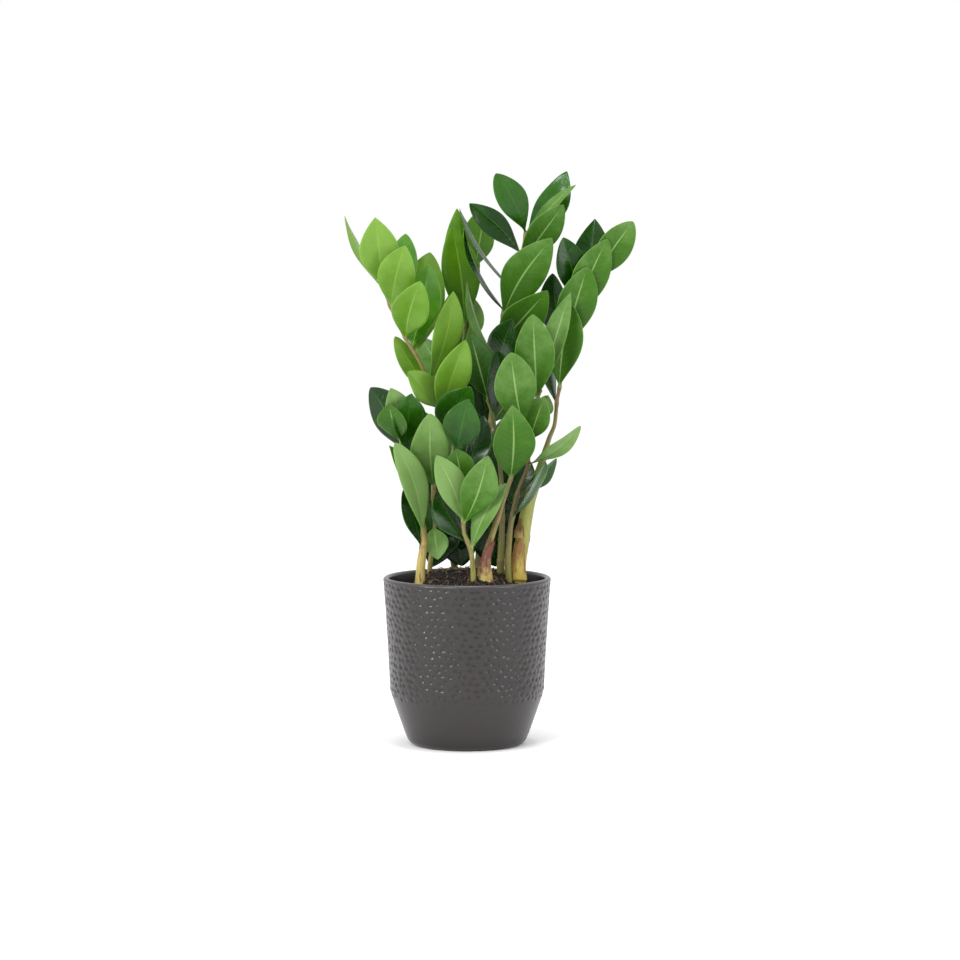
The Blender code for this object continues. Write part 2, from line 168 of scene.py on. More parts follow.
BLADE_ARCH = 0.05
BLADE_FOLD = math.radians(8)
PETIOLE_HALF_WIDTH = 0.0009
TIP_HALF_WIDTH = 0.00025
BLADE_THICKNESS = 0.0006
PETIOLE_THICKNESS = 0.0017
BLADE_ROWS = 40
BLADE_COLUMNS = 14
FOOT_SINK = -0.0006
# The outline: how full it is, how much that drops to the tip, and how far the belly moves up
BLADE_FULLNESS = 0.98
FULLNESS_DROP = 0.36
BELLY_SHIFT = 0.32
COLUMN_CROWDING = 0.85
CREASE_ROUNDING = 0.0008
VEIN_SPACING = 0.005
VEIN_SLANT = 0.75
PETIOLE_RUN = 0.004
WAVES = 9
WAVE_OFFSET = 1.3

# Each leaflet: height of its node, tip, width (mm), twist (degrees), the finish that faces the front, its
# tone from -1, deep, to 1, pale, where a deep tone on a leaflet inside the plant is painted shade, and its
# sideways bend as a share of its length.
LEAFLETS = {
    "stem_tall_left": {
        "lime_leaflet_1": (385, (-75, -30, 439), 33, 0, "young_under", 0.7, 0.01),
        "lime_leaflet_2": (365, (-51, -36, 416), 31, 0, "young_under", 0.4, -0.02),
        "lime_leaflet_3": (339, (-38, -55, 387), 31, 0, "young_under", 0.2, -0.03),
        "lime_leaflet_4": (331, (-31, 0, 400), 32, 8, "young_upper", 0.1, 0.02),
        "lime_leaflet_5": (325, (-31, 40, 408), 42, 0, "young_under", 0.0, -0.04),
        "lime_leaflet_6": (303, (-11, -17, 378), 28, 35, "young_under", 0.3, 0.02),
        "lime_leaflet_7": (273, (-1, -31, 338), 29, 16, "young_under", 0.3, -0.04),
        "lime_leaflet_8": (280, (-48, -24, 312), 24, 34, "young_under", 0.5, 0.0),
        "shade_leaflet_1": (260, (3, -42, 301), 31, 6, "mature_upper", 0.4, -0.03),
        "sage_leaflet_1": (215, (-30, -52, 278), 33, 4, "mature_under", 0.3, -0.02),
    },
    "stem_back": {
        "back_leaflet_1": (361, (-9, 84, 445), 31, 12, "young_under", -0.6, 0.02),
        "back_leaflet_2": (346, (-13, 50, 430), 33, 12, "young_under", -0.4, 0.02),
        "back_leaflet_3": (396, (16, 80, 447), 31, 30, "young_under", -0.8, 0.02),
    },
    "stem_crown": {
        "crown_leaflet_1": (426, (24, 8, 475), 25, 0, "mature_upper", 0.5, 0.05),
        "crown_leaflet_2": (427, (84, 38, 476), 28, -24, "mature_upper", 0.6, 0.05),
        "crown_leaflet_3": (423, (90, 22, 466), 14, -50, "mature_under", 0.0, 0.02),
        "crown_leaflet_4": (398, (80, 11, 449), 27, 20, "mature_under", -0.3, -0.02),
        "crown_leaflet_5": (408, (2, 30, 450), 24, 30, "mature_upper", -0.2, 0.09),
        "crown_leaflet_6": (380, (-6, 27, 446), 24, 80, "mature_upper", 0.0, 0.0),
        "crown_leaflet_7": (361, (-4, 26, 429), 24, 80, "mature_upper", 0.0, 0.0),
        "crown_leaflet_8": (316, (-1, 8, 387), 24, 74, "mature_under", 0.0, 0.0),
        "crown_leaflet_9": (356, (70, -11, 421), 35, 0, "mature_under", -0.25, -0.05),
        "crown_leaflet_10": (333, (66, -30, 379), 33, 15, "mature_under", -0.6, -0.02),
    },
    "stem_inner": {
        "shade_leaflet_2": (287, (3, 3, 342), 30, 0, "mature_under", -0.9, 0.0),
        "shade_leaflet_3": (275, (25, -15, 329), 31, 40, "mature_upper", -0.4, 0.03),
    },
    "stem_right": {
        "right_leaflet_1": (375, (107, 40, 437), 32, -12, "mature_upper", -0.1, 0.0),
        "right_leaflet_2": (366, (80, 3, 422), 27, 14, "mature_upper", -0.3, 0.0),
        "right_leaflet_3": (385, (138, 12, 435), 29, 14, "mature_under", -0.2, -0.04),
        "right_leaflet_4": (352, (116, 2, 421), 31, 16, "mature_under", -0.2, -0.04),
        "right_leaflet_5": (329, (100, -3, 398), 33, 14, "mature_under", -0.3, -0.04),
        "right_leaflet_6": (297, (86, -6, 367), 33, -8, "mature_under", -0.3, -0.02),
    },
    "stem_mid_right": {
        "middle_leaflet_1": (288, (54, -43, 360), 33, 0, "mature_under", -0.1, 0.0),
        "middle_leaflet_2": (297, (85, -15, 377), 21, -26, "mature_under", 0.1, 0.02),
        "middle_leaflet_3": (255, (64, -34, 292), 25, -20, "mature_under", -0.1, 0.0),
        "middle_leaflet_4": (235, (93, -49, 269), 19, 45, "mature_under", 0.5, 0.02),
    },
    "stem_sheathed": {
        "middle_leaflet_5": (270, (36, -54, 329), 35, 8, "mature_under", 0.0, -0.02),
        "middle_leaflet_6": (224, (37, -57, 287), 35, 8, "mature_under", -0.3, 0.02),
    },
    "stem_front": {
        "front_leaflet_1": (190, (-25, -60, 246), 25, 18, "mature_under", 0.9, 0.03),
        "front_leaflet_2": (188, (17, -67, 246), 30, 8, "mature_under", 0.0, 0.03),
        "front_leaflet_3": (167, (32, -44, 222), 24, -40, "mature_under", 0.4, -0.03),
        "front_leaflet_4": (248, (1, -54, 291), 31, -8, "mature_upper", 0.3, 0.0),
    },
    "stem_low_left": {
        "low_leaflet_1": (247, (-80, -3, 298), 34, -26, "mature_upper", -0.5, 0.02),
        "low_leaflet_2": (221, (-46, 14, 292), 29, 40, "mature_upper", 0.0, 0.0),
        "low_leaflet_3": (178, (-58, -48, 255), 25, 30, "mature_under", 1.0, 0.04),
    },
}

# Shaded and rear leaflets, one mesh for each stem; their deep tones are painted shade
INNER_LEAFLETS = {
    "stem_inner": [
        (238, (54, 26, 292), 28, -20, "mature_under", -0.6, 0.0),
        (214, (-4, 24, 266), 28, 20, "mature_upper", -0.4, 0.0),
        (188, (52, 18, 236), 26, -30, "mature_upper", -0.3, 0.0),
        (152, (46, 14, 206), 28, -10, "mature_upper", -0.9, 0.0),
        (208, (43, 12, 148), 32, 0, "mature_upper", -1.0, 0.0),
    ],
    "stem_tall_left": [
        (379, (-101, 11, 440), 24, 77, "young_under", 0.9, 0.0),
        (367, (-51, 34, 424), 29, -16, "young_upper", -0.3, 0.0),
        (286, (-60, 0, 340), 18, 20, "young_under", 0.1, 0.0),
        (175, (-44, -6, 210), 24, 47, "mature_upper", 0.3, 0.0),
        (182, (-24, -14, 156), 21, 0, "mature_under", 0.6, 0.0),
    ],
    "stem_back": [
        (327, (6, 72, 369), 29, -45, "mature_under", 0.3, 0.0),
        (303, (-10, 62, 378), 33, 10, "young_under", -0.7, 0.0),
        (238, (8, 70, 312), 31, -20, "mature_upper", -0.6, 0.0),
        (175, (-26, 52, 234), 31, 15, "mature_upper", -0.8, 0.0),
        (162, (2, 52, 222), 31, -10, "mature_upper", -0.8, 0.0),
        (150, (-34, 26, 206), 31, 10, "mature_upper", -0.9, 0.0),
        (152, (-4, 14, 204), 31, -10, "mature_upper", -0.9, 0.0),
        (200, (-30, 14, 146), 34, 0, "mature_upper", -1.0, 0.0),
        (194, (-4, 20, 147), 34, 0, "mature_upper", -1.0, 0.0),
        (290, (-40, 97, 336), 31, 20, "mature_under", -0.2, 0.0),
        (262, (24, 98, 312), 31, -20, "mature_under", 0.0, 0.0),
        (228, (-44, 91, 276), 31, 25, "mature_under", -0.2, 0.0),
        (205, (26, 92, 252), 31, -25, "mature_under", 0.0, 0.0),
    ],
    "stem_crown": [
        (310, (77, 61, 375), 31, 49, "mature_upper", -0.5, 0.0),
        (305, (38, -22, 356), 29, -30, "mature_upper", -0.4, 0.0),
        (265, (52, 72, 312), 31, -20, "mature_under", -0.2, 0.0),
        (262, (8, 44, 330), 30, 10, "mature_upper", -0.7, 0.0),
        (182, (34, 40, 248), 31, -10, "mature_upper", -0.8, 0.0),
        (160, (26, 46, 218), 31, 10, "mature_upper", -0.9, 0.0),
        (151, (20, 30, 210), 31, 0, "mature_upper", -0.9, 0.0),
        (206, (24, 14, 147), 34, 0, "mature_upper", -1.0, 0.0),
        (232, (48, 72, 280), 31, -30, "mature_under", 0.0, 0.0),
    ],
    "stem_right": [
        (406, (138, 30, 433), 20, 60, "mature_under", 0.4, 0.0),
        (329, (71, 35, 391), 29, 25, "mature_upper", -0.5, 0.0),
        (284, (71, 16, 339), 26, 56, "mature_upper", -0.4, 0.0),
    ],
    "stem_mid_right": [
        (273, (67, -13, 292), 22, -48, "mature_under", 0.5, 0.0),
        (209, (74, -13, 240), 20, 50, "mature_upper", 0.0, 0.0),
        (192, (64, -34, 239), 22, 65, "mature_upper", 0.2, 0.0),
    ],
    "stem_front": [
        (172, (-25, -36, 215), 29, 50, "mature_upper", -0.2, 0.0),
        (214, (-9, -48, 250), 26, 20, "mature_under", -0.3, 0.0),
        (227, (14, -29, 276), 29, -50, "mature_upper", -0.4, 0.0),
    ],
    "stem_low_left": [
        (256, (-64, -40, 286), 27, -30, "mature_under", -0.5, 0.0),
        (251, (-46, -31, 294), 31, 30, "mature_upper", 0.5, 0.0),
        (264, (-62, -29, 299), 24, 30, "mature_under", 0.5, 0.0),
        (202, (-63, -31, 252), 24, 58, "young_under", -0.6, 0.0),
        (167, (-53, -19, 214), 24, 40, "mature_upper", -0.1, 0.0),
    ],
}

# Each leaf skin: its deepest and palest green, midrib, rim, how strongly it ripples and how waxy it is.
# An upper side is waxed and dark, an underside matt and pale, and a young leaf is lime on both.
LEAF_SKINS = {
    "young_under": ("#245200", "#6A8F34", "#7C9E44", "#8AAA54", 0.16, 0.0),
    "young_upper": ("#1A4700", "#55881C", "#78A03C", "#84AC4C", 0.35, 0.15),
    "mature_under": ("#1A4002", "#6A8B4A", "#8CAC64", "#789850", 0.2, 0.0),
    "mature_upper": ("#041801", "#265607", "#2F6216", "#456F26", 1.0, 0.04),
}

OTHER_SIDE = {
    "young_under": "young_upper",
    "young_upper": "young_under",
    "mature_under": "mature_upper",
    "mature_upper": "mature_under",
}

# Each sheath: stem, heights of its lower and upper edge, where its open side faces and how far it wraps
# (degrees), how far its foot and mouth stand off the stem (mm), and its colours from the dry edge inwards
SHEATHS = {
    "sheath_brown": ("stem_sheathed", 136, 178, 100, 320, 3.0, 0.5, "#6B3B30", "#B7A45A"),
    "sheath_right": ("stem_right", 138, 174, 55, 200, 0.8, 0.4, "#86622F", "#B3A045"),
    "sheath_upper_right": ("stem_right", 173, 189, 40, 120, 0.4, 1.2, "#6B4A2A", "#98854A"),
}
SHEATH_THICKNESS = 0.0004
SHEATH_ROWS = 18
SHEATH_COLUMNS = 40
SHEATH_GAP = 0.0007
SHEATH_FOLD = 0.0004
# The mouth's point stands off the middle, and its edge never tears lower than this share of the height.
SHEATH_POINT = 0.15
SHEATH_LEAST = 0.12


# Small helpers ------------------------------------------------------------------------------------


def linear(hex_colour):
    """An sRGB hex colour as linear red, green, blue and alpha."""
    parts = [int(hex_colour[i:i + 2], 16) / 255 for i in (1, 3, 5)]
    return (*(c / 12.92 if c <= 0.04045 else ((c + 0.055) / 1.055) ** 2.4 for c in parts), 1.0)


def smoothstep(low, high, value):
    share = min(1.0, max(0.0, (value - low) / (high - low)))
    return share * share * (3 - 2 * share)


def new_object(name, data):
    made = bpy.data.objects.new(name, data)
    bpy.context.scene.collection.objects.link(made)
    return made


def keep_piece(piece, slot, *nodes):
    """Puts a finished piece on the one body of the plant, in place of its solids; its slot is not used."""
    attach(piece, BODY)
    if nodes:
        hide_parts(*nodes)


def add_node(tree, kind, inputs=(), out=0, **settings):
    """Adds one node and returns its output of that name or number.

    Settings are the node's properties. Inputs are values, or the sockets that feed it, in order or in a dict
    by name or number.
    """
    made = tree.nodes.new(kind)
    for name, value in settings.items():
        setattr(made, name, value)
    for key, value in (inputs.items() if isinstance(inputs, dict) else enumerate(inputs)):
        if isinstance(value, bpy.types.NodeSocket):
            tree.links.new(value, made.inputs[key])
        else:
            made.inputs[key].default_value = value
    return made.outputs[out]


def set_stops(ramp, stops):
    """Gives a colour ramp three stops, each a place and a colour, and passes its output on."""
    elements = ramp.node.color_ramp.elements
    elements.new(1.0)
    for element, (place, tint) in zip(elements, stops):
        element.position = place
        element.color = tint
    return ramp


def mesh_object(name, mesh):
    """An object of a bmesh with its faces turned outwards and shaded smooth."""
    bmesh.ops.recalc_face_normals(mesh, faces=mesh.faces)
    data = bpy.data.meshes.new(name)
    mesh.to_mesh(data)
    mesh.free()
    data.shade_smooth()
    return new_object(name, data)


def skin_rings(mesh, rings):
    """Faces between one closed ring of points and the next."""
    for low, high in pairwise(rings):
        for k, point in enumerate(low):
            n = (k + 1) % len(low)
            mesh.faces.new([point, low[n], high[n], high[k]])


def new_finish(name, roughness, ior=1.5):
    """A material with a bare Principled shader, its node tree and the shader."""
    finish = bpy.data.materials.new(name)
    finish.use_nodes = True
    tree = finish.node_tree
    shader = tree.nodes["Principled BSDF"]
    shader.inputs["Roughness"].default_value = roughness
    shader.inputs["IOR"].default_value = ior
    return finish, tree, shader


# Finishes -----------------------------------------------------------------------------------------


def leaf_finish(name, flesh_colours, rib, rim, gloss, ripple, waxy):
    """Living leaf skin: cuticle wax makes the gloss, and green flesh shows through it as soft colour.

    Read from the blade: "across" is -1 to 1 from edge to edge, "along" 0 to 1 from foot to tip, "tone" the
    leaflet's shade of green, whose deep end on leaflets inside the plant is painted shade, and "vein" the
    distance in vein spacings along a side vein's slant.
    """
    finish, tree, shader = new_finish(name, gloss, ior=1.45)
    node = partial(add_node, tree)
    place = node("ShaderNodeTexCoord", out="Object")
    across = node(MATH, (node(ATTRIBUTE, out="Fac", attribute_name="across"),), operation="ABSOLUTE")
    along = node(ATTRIBUTE, out="Fac", attribute_name="along")
    tone = node(ATTRIBUTE, out="Fac", attribute_name="tone")
    # Broad patches, 25 mm and 6 mm across, keep any two leaflets from being one flat green.
    patches = node(NOISE, {"Vector": place, "Scale": 40.0, "Detail": 3.0})
    mottle = node(NOISE, {"Vector": place, "Scale": 160.0, "Detail": 3.0})
    drift = node(MATH, (patches, 0.5, -0.25), operation="MULTIPLY_ADD")
    drift = node(MATH, (mottle, 0.22, drift), operation="MULTIPLY_ADD")
    # A deep tone, set for leaflets inside the plant, is painted shade.
    lightness = node(MATH, (tone, 0.5, 0.42), operation="MULTIPLY_ADD")
    lightness = node(MATH, (lightness, drift), operation="ADD")
    # Each blade is painted darker towards its foot, near the stem, as painted shade.
    lightness = node(MATH, (along, 0.34, node(MATH, (lightness, 0.12), operation="SUBTRACT")),
                     operation="MULTIPLY_ADD", use_clamp=True)
    flesh = set_stops(node("ShaderNodeValToRGB", (lightness,)), zip((0.0, 0.5, 1.0), flesh_colours))
    # Side veins every 5 mm: barely lighter lines that fade towards the edge.
    wave = node(MATH, (node(ATTRIBUTE, out="Fac", attribute_name="vein"),), operation="FRACT")
    wave = node(MATH, (node(MATH, (wave, 0.5), operation="SUBTRACT"),), operation="ABSOLUTE")
    vein = node(MAP_RANGE, (wave, 0.10, 0.0), interpolation_type="SMOOTHSTEP")
    vein = node(MATH, (vein, node(MAP_RANGE, (across, 1.0, 0.2), interpolation_type="SMOOTHSTEP")),
                operation="MULTIPLY")
    flesh = node(MIX, {0: node(MATH, (vein, 0.09), operation="MULTIPLY"), 6: flesh, 7: rib}, 2,
                 data_type="RGBA")
    # The midrib is about 1.2 mm wide at the foot and thins out towards the tip.
    rib_width = node(MATH, (along, -0.045, 0.085), operation="MULTIPLY_ADD")
    middle_line = node(MAP_RANGE, (node(MATH, (across, rib_width), operation="DIVIDE"), 1.0, 0.35),
                       interpolation_type="SMOOTHSTEP")
    towards_tip = node(MAP_RANGE, (along, 1.0, 0.7), interpolation_type="SMOOTHSTEP")
    middle_line = node(MATH, (middle_line, towards_tip), operation="MULTIPLY")
    flesh = node(MIX, {0: node(MATH, (middle_line, 0.6), operation="MULTIPLY"), 6: flesh, 7: rib}, 2,
                 data_type="RGBA")
    foot = node(MAP_RANGE, (along, 0.10, 0.0), interpolation_type="SMOOTHSTEP")
    flesh = node(MIX, {0: node(MATH, (foot, 0.7), operation="MULTIPLY"), 6: flesh, 7: rib}, 2,
                 data_type="RGBA")
    edge = node(MAP_RANGE, (across, 0.955, 0.995), interpolation_type="SMOOTHSTEP")
    flesh = node(MIX, {0: node(MATH, (edge, 0.55), operation="MULTIPLY"), 6: flesh, 7: rim}, 2,
                 data_type="RGBA")
    tree.links.new(flesh, shader.inputs["Base Color"])
    rough = node(MATH, (mottle, 0.16, gloss - 0.06), operation="MULTIPLY_ADD")
    tree.links.new(rough, shader.inputs["Roughness"])
    relief = node(MATH, (vein, -0.06, node(MATH, (patches, 0.8), operation="MULTIPLY")),
                  operation="MULTIPLY_ADD")
    normal = node(BUMP, {"Height": relief, "Strength": ripple, "Distance": 0.0012})
    tree.links.new(normal, shader.inputs["Normal"])
    shader.inputs["Specular IOR Level"].default_value = 0.25 + waxy
    shader.inputs["Subsurface Weight"].default_value = 0.12
    shader.inputs["Subsurface Radius"].default_value = (0.4, 1.0, 0.15)
    shader.inputs["Subsurface Scale"].default_value = 0.0012
    shader.inputs["Coat Weight"].default_value = waxy
    shader.inputs["Coat Roughness"].default_value = 0.12
    return finish


def stem_finish(name, foot, middle, top):
    """Fleshy stem skin: waxy, pale where it was buried, with brown flecks and fine lengthwise lines."""
    finish, tree, shader = new_finish(name, 0.42, ior=1.45)
    node = partial(add_node, tree)
    place = node("ShaderNodeTexCoord", out="Object")
    height = node("ShaderNodeSeparateXYZ", {"Vector": place}, "Z")
    cloud = node(NOISE, {"Vector": place, "Scale": 90.0, "Detail": 3.0})
    share = node(MAP_RANGE, (height, 0.140, 0.300))
    share = node(MATH, (cloud, 0.22, node(MATH, (share, 0.11), operation="SUBTRACT")),
                 operation="MULTIPLY_ADD", use_clamp=True)
    colours = zip((0.0, 0.32, 1.0), map(linear, (foot, middle, top)))
    skin = set_stops(node("ShaderNodeValToRGB", (share,)), colours)
    stretched = node("ShaderNodeMapping", {"Vector": place, "Scale": (1.0, 1.0, 0.18)})
    lines = node(NOISE, {"Vector": stretched, "Scale": 900.0, "Detail": 2.0})
    skin = node(MIX, {0: node(MAP_RANGE, (lines, 0.45, 0.7, 0.0, 0.30), interpolation_type="SMOOTHSTEP"),
                      6: skin, 7: linear("#5F5A34")}, 2, data_type="RGBA")
    # Brown flecks are 1 to 2 mm long and thickest near the compost.
    flecks = node(MAP_RANGE, (node(NOISE, {"Vector": stretched, "Scale": 420.0, "Detail": 1.0}), 0.62, 0.70),
                  interpolation_type="SMOOTHSTEP")
    low_down = node(MAP_RANGE, (height, 0.200, 0.145, 0.15, 0.8), interpolation_type="SMOOTHSTEP")
    skin = node(MIX, {0: node(MATH, (flecks, low_down), operation="MULTIPLY"), 6: skin, 7: linear("#6A4A2C")},
                2, data_type="RGBA")
    ring = node(ATTRIBUTE, out="Fac", attribute_name="ring")
    skin = node(MIX, {0: node(MATH, (ring, 0.6), operation="MULTIPLY"), 6: skin, 7: linear("#6B5238")}, 2,
                data_type="RGBA")
    tree.links.new(skin, shader.inputs["Base Color"])
    normal = node(BUMP, {"Height": lines, "Strength": 0.25, "Distance": 0.0004})
    tree.links.new(normal, shader.inputs["Normal"])
    shader.inputs["Subsurface Weight"].default_value = 0.08
    shader.inputs["Subsurface Radius"].default_value = (0.8, 1.0, 0.3)
    shader.inputs["Subsurface Scale"].default_value = 0.001
    return finish


def sheath_finish(name, dry, fresh):
    """Dead leaf sheath: papery, matt and brown, with raised fibres, still yellow where it joins the stem."""
    finish, tree, shader = new_finish(name, 0.62)
    node = partial(add_node, tree)
    place = node("ShaderNodeTexCoord", out="Object")
    stretched = node("ShaderNodeMapping", {"Vector": place, "Scale": (1.0, 1.0, 0.12)})
    fibres = node(NOISE, {"Vector": stretched, "Scale": 1100.0, "Detail": 4.0, "Roughness": 0.6})
    blotch = node(NOISE, {"Vector": place, "Scale": 260.0, "Detail": 3.0})
    along = node(ATTRIBUTE, out="Fac", attribute_name="along")
    across = node(ATTRIBUTE, out="Fac", attribute_name="across")
    dried = node(MATH, (blotch, 0.9, node(MATH, (along, 0.55), operation="SUBTRACT")),
                 operation="MULTIPLY_ADD")
    dried = node(MATH, (across, -0.35, dried), operation="MULTIPLY_ADD")
    dried = node(MAP_RANGE, (node(MATH, (fibres, 0.5, dried), operation="MULTIPLY_ADD"), 0.15, 0.75),
                 interpolation_type="SMOOTHSTEP")
    skin = node(MIX, {0: dried, 6: linear(fresh), 7: linear(dry)}, 2, data_type="RGBA")
    skin = node(MIX, {0: node(MAP_RANGE, (fibres, 0.5, 0.75, 0.0, 0.45), interpolation_type="SMOOTHSTEP"),
                      6: skin, 7: linear("#3C211A")}, 2, data_type="RGBA")
    tree.links.new(skin, shader.inputs["Base Color"])
    normal = node(BUMP, {"Height": fibres, "Strength": 0.5, "Distance": 0.0006})
    tree.links.new(normal, shader.inputs["Normal"])
    return finish


def glaze_finish(dark):
    """Stoneware glaze, fired satin: dark umber grey, with pinhead sparkle, a painted highlight on the lip and
    painted shade in the dimples.
    """
    finish, tree, shader = new_finish("satin_stoneware_glaze", 0.34, ior=1.52)
    node = partial(add_node, tree)
    place = node("ShaderNodeTexCoord", out="Object")
    cloud = node(NOISE, {"Vector": place, "Scale": 28.0, "Detail": 3.0})
    grain = node(NOISE, {"Vector": place, "Scale": 700.0, "Detail": 3.0})
    body = node(MIX, {0: cloud, 6: dark, 7: linear("#221A1A")}, 2, data_type="RGBA")
    # The lip is painted paler: a painted highlight.
    lip_highlight_share = node(ATTRIBUTE, out="Fac", attribute_name="glaze_break")
    body = node(MIX, {0: node(MATH, (lip_highlight_share, 0.55), operation="MULTIPLY"), 6: body, 7: linear("#5A5656")}, 2,
                data_type="RGBA")
    # The deepest part of each dimple is painted near black: painted shade in the hollows.
    bowl_shade = node(ATTRIBUTE, out="Fac", attribute_name="dimple")
    body = node(MIX, {0: node(MAP_RANGE, (bowl_shade, 0.05, 0.65, 0.0, 0.75), interpolation_type="SMOOTHSTEP"),
                      6: body, 7: linear("#0F0C0D")}, 2, data_type="RGBA")
    tree.links.new(body, shader.inputs["Base Color"])
    rough = node(MATH, (grain, 0.06, 0.235), operation="MULTIPLY_ADD")
    rough = node(MATH, (cloud, 0.08, rough), operation="MULTIPLY_ADD")
    tree.links.new(rough, shader.inputs["Roughness"])
    # Orange-peel of the fired glaze, 1.5 mm from crest to crest
    normal = node(BUMP, {"Height": grain, "Strength": 0.05, "Distance": 0.0003})
    tree.links.new(normal, shader.inputs["Normal"])
    return finish


def plastic_finish():
    """Black polypropylene, injection moulded: faintly ribbed and scuffed, with a soft sheen."""
    finish, tree, shader = new_finish("moulded_polypropylene", 0.5)
    node = partial(add_node, tree)
    place = node("ShaderNodeTexCoord", out="Object")
    scuffs = node(NOISE, {"Vector": place, "Scale": 320.0, "Detail": 3.0})
    skin = node(MIX, {0: scuffs, 6: linear("#141314"), 7: linear("#232223")}, 2, data_type="RGBA")
    tree.links.new(skin, shader.inputs["Base Color"])
    tree.links.new(node(MATH, (scuffs, 0.2, 0.42), operation="MULTIPLY_ADD"), shader.inputs["Roughness"])
    tree.links.new(node(BUMP, {"Height": scuffs, "Strength": 0.2, "Distance": 0.0002}),
                   shader.inputs["Normal"])
    return finish


def compost_finish(name, dark, light, dry):
    """Peat and bark compost: moist crumbs that swallow the light, with paler dry bits on top."""
    finish, tree, shader = new_finish(name, 0.9)
    node = partial(add_node, tree)
    place = node("ShaderNodeTexCoord", out="Object")
    crumbs = node(NOISE, {"Vector": place, "Scale": 420.0, "Detail": 5.0, "Roughness": 0.65})
    lumps = node(NOISE, {"Vector": place, "Scale": 120.0, "Detail": 3.0})
    earth = node(MIX, {0: node(MAP_RANGE, (crumbs, 0.35, 0.7), interpolation_type="SMOOTHSTEP"),
                       6: linear(dark), 7: linear(light)}, 2, data_type="RGBA")
    earth = node(MIX, {0: node(MAP_RANGE, (lumps, 0.62, 0.74), interpolation_type="SMOOTHSTEP"), 6: earth,
                       7: linear(dry)}, 2, data_type="RGBA")
    tree.links.new(earth, shader.inputs["Base Color"])
    tree.links.new(node(BUMP, {"Height": crumbs, "Strength": 0.8, "Distance": 0.0012}),
                   shader.inputs["Normal"])
    return finish


def fibre_finish(name, dark, light):
    """Dry feeder roots: matt straw-brown strands, darker where they are still damp."""
    finish, tree, shader = new_finish(name, 0.75)
    node = partial(add_node, tree)
    strand = node(NOISE, {"Vector": node("ShaderNodeTexCoord", out="Object"), "Scale": 240.0, "Detail": 3.0})
    skin = node(MIX, {0: node(MAP_RANGE, (strand, 0.35, 0.65), interpolation_type="SMOOTHSTEP"),
                      6: linear(dark), 7: linear(light)}, 2, data_type="RGBA")
    tree.links.new(skin, shader.inputs["Base Color"])
    return finish


# Mesh makers --------------------------------------------------------------------------------------


def smooth_route(points, per_span):
    """Catmull-Rom points through a list of points."""
    ends = [2 * points[0] - points[1], *points, 2 * points[-1] - points[-2]]
    route = []
    for before, a, b, after in zip(ends, ends[1:], ends[2:], ends[3:]):
        for i in range(per_span):
            t = i / per_span
            route.append(0.5 * (2 * a + (b - before) * t + (2 * before - 5 * a + 4 * b - after) * t ** 2
                                + (3 * a - before - 3 * b + after) * t ** 3))
    return [*route, points[-1]]


class Stem:
    """A stem's centre line and thickness, read by height."""

    def __init__(self, name, foot_radius, top_radius, points):
        self.thins = STEM_THINS.get(name)
        self.route = smooth_route([Vector(p) * MM for p in points], 2)
        self.radii = (foot_radius * MM, top_radius * MM)

    def radius(self, height):
        low, high = self.route[0].z, self.route[-1].z
        left = min(1.0, max(0.0, (high - height) / (high - low)))
        share = left ** STEM_TAPER
        if self.thins:
            foot = 1 - smoothstep(self.thins[0] * MM, self.thins[1] * MM, height)
            share = (1 - THIN_SHARE) * share + THIN_SHARE * foot
        return self.radii[1] + (self.radii[0] - self.radii[1]) * share

    def at(self, height):
        """The centre and the direction of the stem at a height."""
        for a, b in pairwise(self.route):
            if height <= b.z or b is self.route[-1]:
                share = min(1.0, max(0.0, (height - a.z) / (b.z - a.z)))
                return a.lerp(b, share), (b - a).normalized()
        raise ValueError("the stem has no points")


stems = {name: Stem(name, *row) for name, row in STEMS.items()}


def blade_half_width(share, width, bluntness):
    """Half the width at a share of the length: widest past the middle, with a long foot and a short tip."""
    fullness = BLADE_FULLNESS - FULLNESS_DROP * share * bluntness
    belly = share ** (1.0 + BELLY_SHIFT * bluntness)
    full = width / 2 * max(0.0, math.sin(math.pi * belly)) ** fullness
    least = PETIOLE_HALF_WIDTH + (TIP_HALF_WIDTH - PETIOLE_HALF_WIDTH) * share
    return max(full, least)


def blade_frame(stem, row):
    """Foot, axis, across and face directions, length and arch of a leaflet, as its plain solid has them."""
    node, tip, _, twist = row[:4]
    centre, along = stem.at(node * MM)
    tip = Vector(tip) * MM
    side = 1.0 if tip.y > centre.y else -1.0
    outward = (tip - centre).normalized()
    away = (outward - outward.dot(along) * along).normalized() + Vector((0.0, side, 0.0))
    away = (away - away.dot(along) * along).normalized()
    foot = centre + away * (stem.radius(centre.z) + FOOT_SINK)
    axis = (tip - foot).normalized()
    length = (tip - foot).length
    face = Vector((0.0, -1.0, 0.0))
    face = (face - face.dot(axis) * axis).normalized()
    face = Matrix.Rotation(math.radians(twist), 3, axis) @ face
    arch = BLADE_ARCH * length * (1.0 if face.dot(away) >= 0 else -1.0)
    return foot, axis, axis.cross(face), face, length, arch


